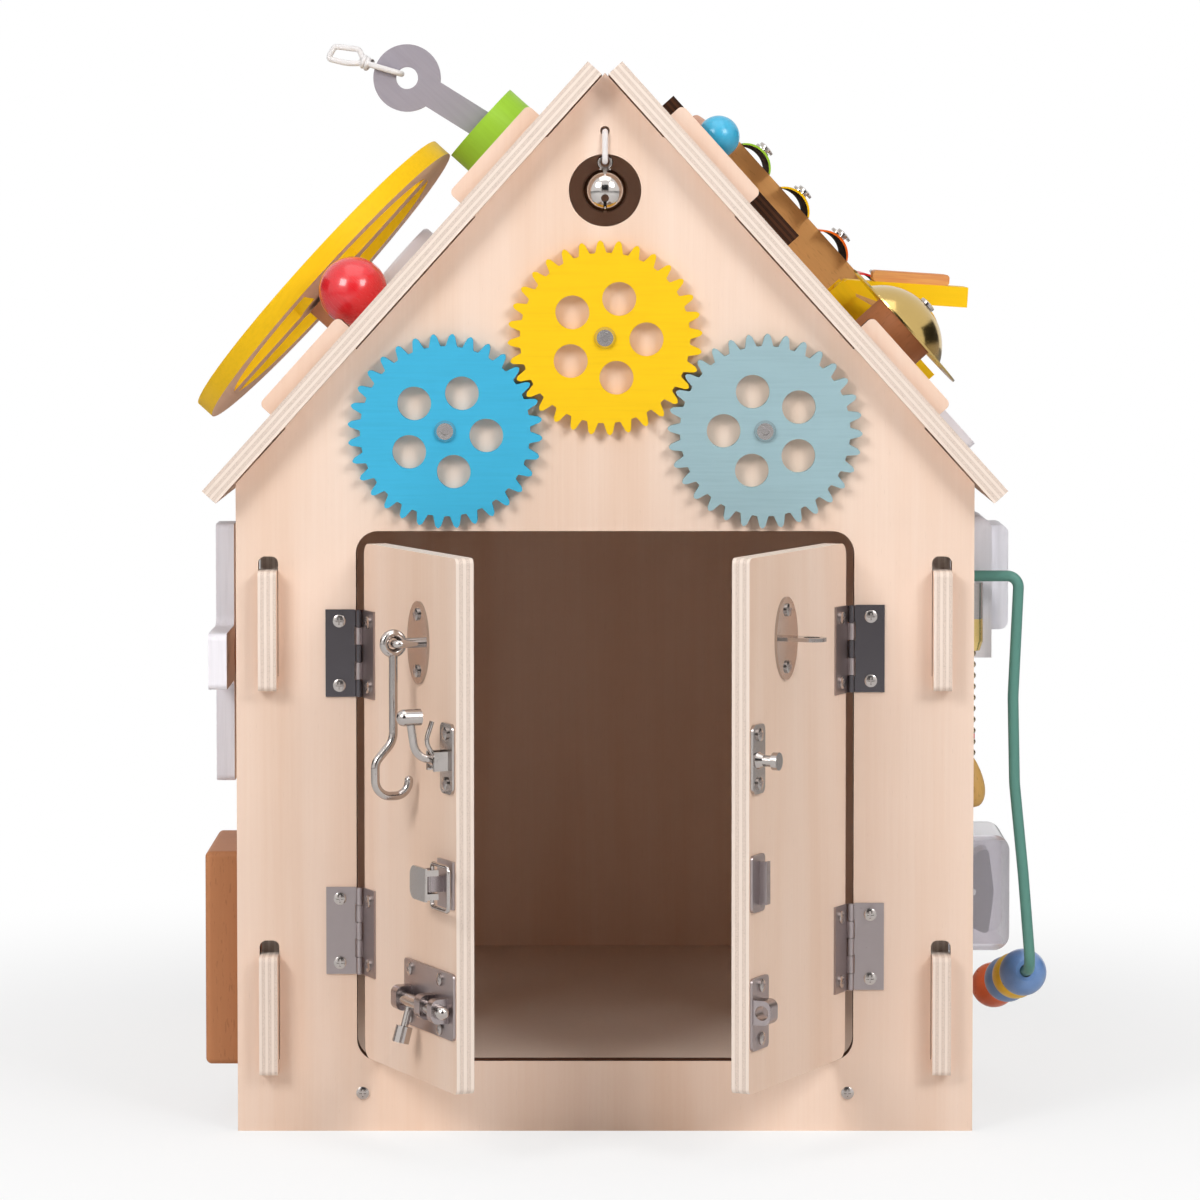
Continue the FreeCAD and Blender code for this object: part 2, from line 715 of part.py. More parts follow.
def gear(label, first_tooth, first_hole):
    """A ply gear: slim involute teeth with round tips, and five lightening holes."""
    centre = GEAR_CENTRES[label]
    body = new_body(label, Placement(Vector(centre[0], front - GEAR_CLEAR, centre[1]), Rotation()))
    drawn = new_sketch(body, "XZ_Plane")
    teeth = int(size("gear_teeth"))
    root, tip = size("gear_root"), size("gear_tip")
    outline = []
    for index in range(teeth):
        middle = first_tooth + 2 * math.pi * index / teeth
        foot = tooth_half_angle(38)
        shoulder = tooth_half_angle(41)
        outline.append((*polar((0, 0), root, middle - foot - 0.012), 0.7))
        outline.append(polar((0, 0), 41, middle - shoulder))
        outline.append(polar((0, 0), tip, middle - 0.009))
        outline.append(polar((0, 0), tip, middle + 0.009))
        outline.append(polar((0, 0), 41, middle + shoulder))
        outline.append((*polar((0, 0), root, middle + foot + 0.012), 0.7))
    loop(drawn, outline)
    circle(drawn, (0, 0), 2.5)
    for index in range(5):
        hole = first_hole + 2 * math.pi * index / 5
        circle(drawn, polar((0, 0), size("gear_hole_ring"), hole), "Sizes.gear_hole")
    pad(body, drawn, "Sizes.gear_thick")


def gears():
    """The yellow gear's teeth set the phase that its two neighbours need to mesh."""
    pitch_angle = 2 * math.pi / size("gear_teeth")
    middle = GEAR_CENTRES["gear_yellow"]
    yellow = math.radians(90 + 2.9)
    gear("gear_yellow", yellow, math.radians(-2))
    for label, first_hole in (("gear_blue", -6), ("gear_grey", -36.5)):
        centre = GEAR_CENTRES[label]
        toward = math.atan2(centre[1] - middle[1], centre[0] - middle[0])
        offset = (yellow - toward) % pitch_angle
        gear(label, toward + math.pi - offset + pitch_angle / 2, math.radians(first_hole))
    rivets = []
    for across, height in GEAR_CENTRES.values():
        seat = rod(4.6, GEAR_CLEAR - 0.05, (across, front, height), (0, -1, 0))
        shank = rod(2.45, 5.9, (across, front, height), (0, -1, 0))
        head = cone(4.75, 3.6, 1.8, (across, front - 5.7, height), (0, -1, 0))
        hollow = rod(1.7, 3, (across, front - 5.9, height), (0, -1, 0))
        rivets.append(minus(union([seat, shank, head]), hollow))
    node(group(rivets), "gear_rivets")


def jingle_bell():
    """A hollow ball with a keyhole slot, its eye, the pellet inside and the cord that holds it."""
    middle_y = front + ply / 2
    centre = (0, middle_y, size("bell_height"))
    top = size("bell_height") + size("bell_radius")
    eye_height = top + 2.3
    shell = minus(ball("Sizes.bell_radius", centre), ball("Sizes.bell_radius - 0.8", centre))
    slot = box(24, 1.4, 7, (-12, middle_y - 0.7, size("bell_height") - 11))
    drops = []
    for across in (-1, 1):
        start = (across * 4, middle_y, size("bell_height") - 3.4)
        drops.append(rod(1.7, 9, start, (across, 0, 0)))
    turned = union([slot, *drops])
    turned.Placement = Placement(Vector(), Rotation(Vector(0, 0, 1), 90), Vector(*centre))
    eye = ring(2.7, 0.7, (0, middle_y, eye_height), (0, 1, 0))
    pellet = (0, middle_y, size("bell_height") - size("bell_radius") + 0.8 + 2.2)
    node(group([union([minus(shell, turned), eye]), ball(2.2, pellet)]), "jingle_bell")
    cord_radius = 1.3
    hole = size("bell_height") + 25.6
    near, far = front - cord_radius - 0.1, front + ply + cord_radius + 0.1
    low = eye_height + 0.4
    route = [(0, middle_y, hole - 0.3), (0, near, hole - 0.3), (0, near, low), (0, far, low)]
    route += [(0, far, hole - 0.3), (0, middle_y, hole - 0.3)]
    node(feature(bent_wire(route, (2.2, 2.2, 2.2, 2.2), cord_radius)), "bell_cord")


FAN_Y = -113
FAN_HEIGHT = 205


def left_wall_toys():
    """A four-armed spinner on a dowel, a round base, a beech box and a small block."""
    face = -half_span
    reach, arm = size("fan_reach"), size("fan_arm") / 2
    inner = 4
    body = new_body("fan_blades", Placement(Vector(face - 14.2, FAN_Y, FAN_HEIGHT), Rotation()))
    drawn = new_sketch(body, "YZ_Plane")
    cross = [
        (reach, -arm, 3), (reach, arm, 3), (arm, arm, inner), (arm, reach, 3), (-arm, reach, 3),
        (-arm, arm, inner), (-reach, arm, 3), (-reach, -arm, 3), (-arm, -arm, inner),
        (-arm, -reach, 3), (arm, -reach, 3), (arm, -arm, inner),
    ]
    loop(drawn, cross)
    circle(drawn, (0, 0), 3.05)
    pad(body, drawn, "Sizes.fan_thick", True)
    spacer = rod(10.6, 14.1, (face, FAN_Y, FAN_HEIGHT), (-1, 0, 0))
    pin = rod(3, 23.2, (face, FAN_Y, FAN_HEIGHT), (-1, 0, 0))
    cap = cone(5, 3.4, 2, (face - 22.4, FAN_Y, FAN_HEIGHT), (-1, 0, 0))
    node(union([spacer, pin, cap]), "fan_spacer")
    disc = rod(38, 8, (face, 0, 192), (-1, 0, 0))
    rim = rounded(disc, 2.5, lambda edge: edge.CenterOfMass.x < face - 4)
    chest = rounded(box(25.4, 76, 94, (face - 25.4, -152, 26)), 2.6, lambda edge: True)
    block = box(11, 42, 15, (face - 11, -60, 122))
    bevel = doc.addObject("Part::Chamfer", "Bevel")
    doc.recompute()
    bevel.Base = block
    bevel.Edges = [
        (number, 5, 5)
        for number, edge in enumerate(block.Shape.Edges, start=1)
        if edge.CenterOfMass.x < face - 10 and edge.CenterOfMass.z > 136
    ]
    node(group([chest, bevel]), "beech_blocks")
    return rim


CHAIN_X = half_span + 11
CHAIN_Y = -146
CHAIN_PITCH = 4.85
BUTTON_Y = -118
BUTTON_HEIGHT = 167


def right_wall_toys():
    face = half_span
    lower = box(20, 46, 62, (face, -138, 204))
    upper = box(10, 34, 46, (face + 18, -132, 216))
    plinth = rounded(lower, 6, lambda edge: edge.CenterOfMass.z > 265 and edge.CenterOfMass.x > face + 5)
    raised = rounded(upper, 4, lambda edge: edge.CenterOfMass.x > face + 27)
    collar = rod(6.4, 8, (face, BUTTON_Y, BUTTON_HEIGHT), (1, 0, 0))
    guide = minus(collar, rod(4.1, 7, (face + 2, BUTTON_Y, BUTTON_HEIGHT), (1, 0, 0)))
    node(group([union([plinth, raised]), guide]), "switch_block")

    # the pull switch: a round body on a foot, with the chain's mouth at its lower end
    foot = box(11, 8, 16, (face, CHAIN_Y - 4, 222))
    body = rod(4.6, 26, (CHAIN_X, CHAIN_Y, 212))
    mouth = cone(3.2, 4.6, 4, (CHAIN_X, CHAIN_Y, 208))
    bore = rod(2.0, 24, (CHAIN_X, CHAIN_Y, 206))
    node(minus(union([foot, body, mouth]), bore), "chain_socket")

    # the chain is one turned string of small beads, and the drop hangs from its last one
    low, link = 161, 0.6
    string = new_body(None, Placement(Vector(CHAIN_X, CHAIN_Y, 0), Rotation()))
    drawn = new_sketch(string, "XZ_Plane")
    beads = [(0, low - 1), (link, low - 1)]
    for index in range(12):
        foot = low + 2 + index * CHAIN_PITCH
        beads += [(link, foot - 1.6), (1.5, foot - 0.8), (1.5, foot + 0.8), (link, foot + 1.6)]
    loop(drawn, beads + [(link, low + 58), (0, low + 58)])
    revolve(string, drawn)
    body = new_body(None, Placement(Vector(CHAIN_X, CHAIN_Y, 0), Rotation()))
    drawn = new_sketch(body, "XZ_Plane")
    half = [
        Part.Arc(Vector(0, 138.5, 0), Vector(5.2, 141.6, 0), Vector(5.9, 147, 0)),
        Part.Arc(Vector(5.9, 147, 0), Vector(4.4, 154.5, 0), Vector(1.8, 161.4, 0)),
        Part.LineSegment(Vector(1.8, 161.4, 0), Vector(0, 161.4, 0)),
        Part.LineSegment(Vector(0, 161.4, 0), Vector(0, 138.5, 0)),
    ]
    drawn.addGeometry(half, False)
    revolve(body, drawn)
    node(union([string, body]), "pull_chain")

    stem = rod(4.0, 9, (face + 5, BUTTON_Y, BUTTON_HEIGHT), (1, 0, 0))
    node(rounded(stem, 0.8, lambda edge: edge.CenterOfMass.x > face + 13), "red_button")

    low, high = 75, 126
    crosswise = along((0, 1, 0))
    outer = box(28, 48, high - low, (face, -142, low))
    shell = rounded(outer, 7, lambda edge: crosswise(edge) and edge.CenterOfMass.x > face + 20)
    hollow = box(30, 43, high - low - 5, (face + 4, -139.5, low + 2.5))
    pins = rod(1.5, 44, (face + 12, -140, (low + high) / 2), (0, 1, 0))
    node(union([minus(shell, hollow), pins]), "switch_housing")
    rocker = [(7.5, -14), (19, -19.5, 2), (21.5, 0), (19, 19.5, 2), (7.5, 14)]
    body = new_body("switch_rocker", Placement(Vector(face, -120, (low + high) / 2), Rotation()))
    drawn = new_sketch(body, "XZ_Plane")
    loop(drawn, rocker)
    circle(drawn, (12, 0), 1.55)
    pad(body, drawn, 17.5)


# The bead wire leaves the wall, drops, and runs back along the wall, falling as it goes.
WIRE_START_Y = -150
RUN_START = Vector(186, -138, 65.3)
RUN_END = Vector(178, -30, 41)
BEADS = {"bead_blue": 10, "bead_yellow": 32, "bead_sky": 56, "bead_orange": 98}


def bead_wire():
    run = (RUN_END - RUN_START).normalize()
    corner = RUN_START - run * 12
    beyond = RUN_END + run * 12
    route = [
        (half_span, WIRE_START_Y, 241), (181, WIRE_START_Y, 241), (178.6, WIRE_START_Y, 188),
        (179.4, WIRE_START_Y, 150), (183.4, WIRE_START_Y, 110), tuple(corner), tuple(beyond),
        (half_span, beyond.y, beyond.z),
    ]
    wire = bent_wire(route, (5, 60, 60, 60, 9, 8), size("wire_radius"))
    node(feature(wire), "bead_wire")
    for label, distance in BEADS.items():
        centre = RUN_START + run * distance
        half_bore = 9.3
        base = centre - run * 14
        bead = ball("Sizes.bead_radius", tuple(centre))
        ends = [
            rod(12, 8, tuple(centre + run * half_bore), tuple(run)),
            rod(12, 8, tuple(centre - run * half_bore), tuple(-run)),
        ]
        bore = rod("Sizes.wire_radius + 0.4", 28, tuple(base), tuple(run))
        node(minus(bead, union([bore, *ends])), label)


WHEEL_DOWN = 153.4
WHEEL_Y = -50
WHEEL_OUT = 30
WHEEL_LEAN = 3.3
LOCK_DOWN = 52.6
LOCK_Y = -62
LOCK_RISE = 20
KEY_LEAN = 10


def left_roof_toys():
    """On this slope the local X points up to the ridge, so distances down are negative."""
    place = roof_place(-1)
    # the wheel hangs loose on its pin, so its front edge stands a little further off the roof
    half_thick = size("wheel_thick") / 2
    seat = Placement(Vector(-WHEEL_DOWN, WHEEL_Y, WHEEL_OUT + half_thick),
                     Rotation(Vector(1, 0, 0), -WHEEL_LEAN))
    body = new_body("steering_wheel", place.multiply(seat).multiply(
        Placement(Vector(0, 0, -half_thick), Rotation())))
    drawn = new_sketch(body, "XY_Plane")
    circle(drawn, (0, 0), "Sizes.wheel_radius")
    circle(drawn, (0, 0), 3.95)
    rim, hub = size("wheel_radius") - 15, 21
    for index in range(4):
        # each opening is a quarter of the ring between hub and rim, less half a spoke each side
        corners = []
        quarter = math.pi / 2
        turns = ((hub, 0.42), (rim, 0.13), (rim, quarter - 0.13), (hub, quarter - 0.42))
        for radius, turn in turns:
            corners.append(Vector(*polar((0, 0), radius, turn + index * quarter), 0))
        inner, outer = [
            Vector(*polar((0, 0), radius, math.pi / 4 + index * math.pi / 2), 0) for radius in (hub, rim)
        ]
        drawn.addGeometry([
            Part.LineSegment(corners[0], corners[1]),
            Part.Arc(corners[1], outer, corners[2]),
            Part.LineSegment(corners[2], corners[3]),
            Part.Arc(corners[3], inner, corners[0]),
        ], False)
    pad(body, drawn, "Sizes.wheel_thick")

    hub_column = rod(15.6, WHEEL_OUT - 1.1 - roof_top, (-WHEEL_DOWN, WHEEL_Y, roof_top))
    pin = rod(3.5, WHEEL_OUT - roof_top + 10.3, (-WHEEL_DOWN, WHEEL_Y, roof_top))
    cap = cone(6, 4.4, 2.4, (-WHEEL_DOWN, WHEEL_Y, WHEEL_OUT + 9.3))
    node(union([hub_column, pin, cap]), "wheel_hub", place)

    red = ball(15, (-143.9, -146, roof_top + 10))
    node(minus(red, box(40, 40, 20, (-163.9, -166, roof_top - 20))), "red_ball", place)
    barrel = rod(20, LOCK_RISE, (-LOCK_DOWN, LOCK_Y, roof_top))
    keyway = box(19, 6, 17, (-LOCK_DOWN - 9.2, LOCK_Y - 3, roof_top + 3.4))
    node(minus(barrel, keyway), "lock_barrel", place)

    # the key leans in its keyway; its bow has a round hole for the cord
    lean = Placement(Vector(-LOCK_DOWN + 2.1, LOCK_Y + 2.5, roof_top + 4.7),
                     Rotation(Vector(0, 1, 0), -KEY_LEAN))
    body = new_body("key", place.multiply(lean))
    drawn = new_sketch(body, "XZ_Plane")
    bow, half_shank, bow_height = 15.2, 6.4, 54.3
    joint_height = bow_height - math.sqrt(bow ** 2 - half_shank ** 2)
    drawn.addGeometry([
        Part.LineSegment(Vector(-half_shank, 0, 0), Vector(half_shank, 0, 0)),
        Part.LineSegment(Vector(half_shank, 0, 0), Vector(half_shank, joint_height, 0)),
        Part.Arc(Vector(half_shank, joint_height, 0), Vector(0, bow_height + bow, 0),
                 Vector(-half_shank, joint_height, 0)),
        Part.LineSegment(Vector(-half_shank, joint_height, 0), Vector(-half_shank, 0, 0)),
    ], False)
    circle(drawn, (0, bow_height), 5)
    pad(body, drawn, 5)
    key_cord(place.multiply(lean), bow_height)
    disc = rod(16, 9, (-123, 24, roof_top))
    rim = rounded(disc, 2, lambda edge: edge.CenterOfMass.z > roof_top + 5)
    return placed(rim, place)


def key_cord(place, bow_height):
    """A cord loop through the bow, drawn tight by a knot, with its stiff bight standing beyond it."""
    near, far = -7, 2
    knot = (-4.1, -2.5, bow_height + 19.6)
    route = [knot, (-3.3, near, bow_height + 15.7), (0.2, near, bow_height + 3.1)]
    route += [(0.2, far, bow_height + 3.1), (-3.3, far, bow_height + 15.7), knot]
    through = feature(bent_wire(route, (3.4, 3.4, 3.4, 3.4), 1.3))
    tie = ball(2.6, knot)
    low, top = bow_height + 25.2, bow_height + 35.4
    bight = [(-3.9, -2.5, bow_height + 20.3), (-0.6, -2.5, low), (-5.2, -2.5, top)]
    bight += [(-11.6, -2.5, top - 0.4), (-8.3, -2.5, low), (-4.4, -2.5, bow_height + 20)]
    loose = feature(bent_wire(bight, (3, 3, 3, 3), 1.3))
    node(union([through, tie, loose]), "key_cord", place)


BAR_DOWN = 73.1
BAR_MIDDLE_Y = 12
RAIL_TOP = 27
CYMBAL_DOWN = 170
CYMBAL_Y = -127
CLAPPER_DOWN = 141.7
CLAPPER_Y = -90
CLAPPER_DEPTH = 36
CLAPPER_END = 0.4


def xylophone():
    """Two beech rails carry four arched sheet bars, each held by a screw through its crown."""
    place = roof_place(1)
    rails = []
    for middle in (BAR_MIDDLE_Y - 34, BAR_MIDDLE_Y + 30):
        rails.append(box(110, 9, RAIL_TOP - roof_top, (BAR_DOWN - 13, middle, roof_top)))
    node(group(rails), "xylophone_rails", place)
    half, rise, thick = size("bar_width") / 2, 4.2, 1.0
    bars, tops = [], []
    for index in range(4):
        down = BAR_DOWN + index * size("bar_pitch")
        length = size("xylophone_length") - 7 * index
        body = new_body(None, Placement(Vector(down, BAR_MIDDLE_Y + length / 2, RAIL_TOP), Rotation()))
        drawn = new_sketch(body, "XZ_Plane")
        drawn.addGeometry([
            Part.Arc(Vector(-half, 0, 0), Vector(0, rise, 0), Vector(half, 0, 0)),
            Part.LineSegment(Vector(half, 0, 0), Vector(half + thick * 0.9, 0, 0)),
            Part.Arc(Vector(half + thick * 0.9, 0, 0), Vector(0, rise + thick, 0),
                     Vector(-half - thick * 0.9, 0, 0)),
            Part.LineSegment(Vector(-half - thick * 0.9, 0, 0), Vector(-half, 0, 0)),
        ], False)
        pad(body, drawn, length)
        bars.append(body)
        for across in (BAR_MIDDLE_Y - 29.5, BAR_MIDDLE_Y + 34.5):
            seat = RAIL_TOP + rise + thick
            shank = rod(1.7, 2.6, (down, across, seat))
            tops.append(union([shank, cone(3.8, 2.4, 1.8, (down, across, seat + 1.4))]))
    node(group(bars), "xylophone_bars", place)
    return [placed(top, place) for top in tops]


def mallet(place):
    """A ball on a stick, lying on a ply rest that is notched round the ball."""
    body = new_body(None, place)
    drawn = new_sketch(body, "XY_Plane", roof_top)
    loop(drawn, [
        (27, -158), (43, -158), (43, -141.5), (64, -141.5), (64, -158), (108.6, -158),
        (108.6, -131), (27, -131),
    ])
    pad(body, drawn, 7)
    stick_out = roof_top + 7 + 2.8
    head = ball(9.2, (53.3, -151.5, stick_out))
    heading = Vector(-11.5, 118, 0).normalize()
    stick = rod(2.7, 118, (53.3, -150, stick_out), tuple(heading))
    node(union([head, stick]), "mallet", place)
    return body


def right_roof_toys():
    heads = xylophone()
    place = roof_place(1)
    rest = mallet(place)
    node(rod(16, 15, (CYMBAL_DOWN, CYMBAL_Y, roof_top)), "cymbal_spacer", place)
    body = new_body("cymbal", place.multiply(
        Placement(Vector(CYMBAL_DOWN, CYMBAL_Y, roof_top + 15), Rotation())))
    drawn = new_sketch(body, "XZ_Plane")
    brim, dome, crown, thick = size("cymbal_radius"), size("dome_radius"), 14, 0.9
    rise = crown - thick
    curve = (dome ** 2 + rise ** 2) / (2 * rise)
    half_turn = math.asin(dome / curve) / 2
    shoulder = Vector(curve * math.sin(half_turn), crown - curve + curve * math.cos(half_turn), 0)
    drawn.addGeometry([
        Part.LineSegment(Vector(0, 0, 0), Vector(brim, 0, 0)),
        Part.LineSegment(Vector(brim, 0, 0), Vector(brim, thick, 0)),
        Part.LineSegment(Vector(brim, thick, 0), Vector(dome, thick, 0)),
        Part.Arc(Vector(dome, thick, 0), shoulder, Vector(0, crown, 0)),
        Part.LineSegment(Vector(0, crown, 0), Vector(0, 0, 0)),
    ], False)
    revolve(body, drawn)
    heads.append(placed(cone(3.6, 2.2, 2, (CYMBAL_DOWN, CYMBAL_Y, roof_top + 15 + crown)), place))
    board = rounded(box(30, 60, 8, (216, 60, roof_top)), 3, along((0, 0, 1)))
    clapper(place)
    return heads, [rest, placed(board, place)]


def clapper(place):
    """Two wedge-ended boards pinned at their thin ends, so that they clap; the upper has a grip."""
    length, knuckle, pin, cheek = 56, 2.6, 1.2, 2.0
    base_thick, base_tip = size("clapper_base"), 7.2
    corner = Placement(Vector(CLAPPER_DOWN, CLAPPER_Y + CLAPPER_DEPTH, roof_top), Rotation())
    board = new_body(None)
    drawn = new_sketch(board, "XZ_Plane")
    loop(drawn, [(0, 0), (length, 0), (length, base_thick), (15, base_thick), (0, base_tip)])
    pad(board, drawn, CLAPPER_DEPTH)
    relief = rod(knuckle + 0.4, CLAPPER_DEPTH + 2, (0, 1, base_tip), (0, -1, 0))
    cheeks = [box(9, cheek, base_tip + 2.6, (-3, base, 0)) for base in (0, -CLAPPER_DEPTH - cheek)]
    shaft = rod(pin, CLAPPER_DEPTH + 2 * cheek, (0, cheek, base_tip), (0, -1, 0))
    node(union([minus(board, relief), *cheeks, shaft]), "clapper_lower", place.multiply(corner))

    opened = Placement(Vector(0, 0, base_tip), Rotation(Vector(0, 1, 0), -44.3))
    body = new_body(None, Placement(Vector(0, -CLAPPER_END, 0), Rotation()))
    drawn = new_sketch(body, "XZ_Plane")
    depth = CLAPPER_DEPTH - 2 * CLAPPER_END
    thick, tip = size("clapper_thick"), 4.2
    loop(drawn, [(0, 0), (16, tip - thick), (length, tip - thick), (length, tip), (0.5, tip, 2)])
    pad(body, drawn, depth)
    barrel = rod(knuckle, depth, (0, -CLAPPER_END, 0), (0, -1, 0))
    bore = rod(pin + 0.05, CLAPPER_DEPTH + 2, (0, 1, 0), (0, -1, 0))
    grip = box(34.3, 24, 5, (13.4, -30, tip))
    handle = rounded(grip, 1.6, along((0, 1, 0)))
    swinging = group([minus(union([body, barrel]), bore), handle])
    node(swinging, "clapper_upper", place.multiply(corner).multiply(opened))


def check_and_write():
    """Every object must have computed, and every sub-part must be whole, before any is written."""
    doc.recompute()
    for thing in doc.Objects:
        if "Invalid" in thing.State or "Error" in thing.State:
            raise RuntimeError(f"{thing.Name} ({thing.Label}) did not compute")
    for thing in nodes:
        if thing.Shape.isNull() or not thing.Shape.isValid() or not thing.Shape.Solids:
            raise RuntimeError(f"{thing.Label} has no valid shape")
    os.makedirs("parts", exist_ok=True)
    for thing in nodes:
        thing.Shape.exportStep(f"parts/{thing.Label}.step")
    print(len(nodes), "sub-parts written")


front_panel()
back_panel()
wall("left_wall", -half_span)
wall("right_wall", half_span - ply)
floor()
roof("roof_left", -1)
roof("roof_right", 1)
door("left_door", 1)
door("right_door", -1)
hinges()
hook_staple()
cabin_hook()
latch_base()
latch_arm()
toggle_latch()
barrel_bolt()
right_hardware()
gears()
jingle_bell()
wall_disc = left_wall_toys()
right_wall_toys()
bead_wire()
roof_disc = left_roof_toys()
roof_heads, roof_boards = right_roof_toys()
house_screws(roof_heads)
node(group([wall_disc, roof_disc, *roof_boards]), "white_boards")
check_and_write()
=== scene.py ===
import math

import bmesh
import bpy
from bpy.props import FloatProperty, FloatVectorProperty, PointerProperty
from mathutils import Matrix, Vector


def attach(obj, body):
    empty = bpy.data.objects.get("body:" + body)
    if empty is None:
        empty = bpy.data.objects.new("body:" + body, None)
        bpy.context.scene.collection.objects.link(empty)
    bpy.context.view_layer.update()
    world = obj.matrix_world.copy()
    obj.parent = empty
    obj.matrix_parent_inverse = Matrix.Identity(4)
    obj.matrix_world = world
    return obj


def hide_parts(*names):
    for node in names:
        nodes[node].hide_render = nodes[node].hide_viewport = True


bl_info = {
    "name": "Activity house finishes",
    "version": (1, 0, 0),
    "blender": (4, 5, 0),
    "location": "View3D > Sidebar > Activity house",
    "description": "Dresses a plywood activity house: veneer, paint, plated locks, screws and cord",
    "category": "Object",
}

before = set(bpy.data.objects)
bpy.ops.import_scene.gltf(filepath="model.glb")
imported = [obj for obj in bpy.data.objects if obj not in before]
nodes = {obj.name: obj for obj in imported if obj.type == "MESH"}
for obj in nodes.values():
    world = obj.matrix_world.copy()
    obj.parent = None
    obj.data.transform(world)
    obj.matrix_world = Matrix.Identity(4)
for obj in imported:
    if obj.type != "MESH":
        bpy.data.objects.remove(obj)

MM = 0.001
RIDGE = Vector((0, 0, 0.460))
PITCH = math.radians(48)
ROOF_UNDER = 0.0006
ROOF_TOP = 0.0086
PLY = 0.008
FRONT_FACE = -0.17
BACK_INSIDE = 0.162
LEFT_FACE = -0.15
RIGHT_INSIDE = 0.142
FLOOR_UNDER = 0.023
REST_THICK = 0.007
HINGE_AXIS = 0.1066
AXIS_Y = -0.17165
DOOR_FACE = 0.00165
LEFT_ANGLE = math.radians(65.5)
RIGHT_ANGLE = math.radians(64.5)
CHAIN = Vector((0.161, -0.146, 0))
CHAIN_PITCH = 0.00485
CHAIN_LOW = 0.163
SOCKET_MOUTH = 0.222
CHAIN_BALLS = 12
BAR_DOWN = 0.0731
BAR_PITCH = 0.0268
BAR_HEAD = 0.0336
HUB_CAP = 0.039
MALLET_BALL = (0.0533, -0.1515, ROOF_TOP + 0.0098)
MALLET_RADIUS = 0.0098


def roof_frame(side):
    """A slope's own frame: Z out of the roof, X along the slope, Y along the ridge."""
    return Matrix.Translation(RIDGE) @ Matrix.Rotation(side * PITCH, 4, "Y")


def door_frame(side):
    """A door's own frame on its hinge axis, X across the door; side 1 is the left door."""
    angle = LEFT_ANGLE if side > 0 else RIGHT_ANGLE
    return Matrix.Translation((-side * HINGE_AXIS, AXIS_Y, 0)) @ Matrix.Rotation(-side * angle, 4, "Z")


HOUSE = Matrix.Identity(4)
LEFT_ROOF, RIGHT_ROOF = roof_frame(-1), roof_frame(1)
LEFT_DOOR, RIGHT_DOOR = door_frame(1), door_frame(-1)
CLAPPER_THICK = 0.0043
CLAPPER = RIGHT_ROOF @ Matrix.Translation((0.1417, -0.054, ROOF_TOP + 0.0072)) @ Matrix.Rotation(
    math.radians(-44.3), 4, "Y")
KEY = LEFT_ROOF @ Matrix.Translation((-0.0505, -0.0595, ROOF_TOP + 0.0047)) @ Matrix.Rotation(
    math.radians(-10), 4, "Y")


class Value:
    """A shader socket that can be added, multiplied and compared as a number is."""

    def __init__(self, finish, socket):
        self.finish = finish
        self.socket = socket

    def math(self, operation, first, second=0.0):
        return self.finish.add("ShaderNodeMath", {"operation": operation}, {0: first, 1: second})

    def __add__(self, other):
        return self.math("ADD", self, other)

    def __sub__(self, other):
        return self.math("SUBTRACT", self, other)

    def __rsub__(self, other):
        return self.math("SUBTRACT", other, self)

    def __mul__(self, other):
        return self.math("MULTIPLY", self, other)

    def __truediv__(self, other):
        return self.math("DIVIDE", self, other)

    def __gt__(self, other):
        return self.math("GREATER_THAN", self, other)

    def __lt__(self, other):
        return self.math("LESS_THAN", self, other)

    def __abs__(self):
        return self.math("ABSOLUTE", self)

    __radd__ = __add__
    __rmul__ = __mul__

    def fract(self):
        return self.math("FRACT", self)

    def rise(self, low, high):
        """0 below low, 1 above high, and smooth between."""
        return self.finish.add(
            "ShaderNodeMapRange", {"interpolation_type": "SMOOTHSTEP"}, {0: self, 1: low, 2: high})


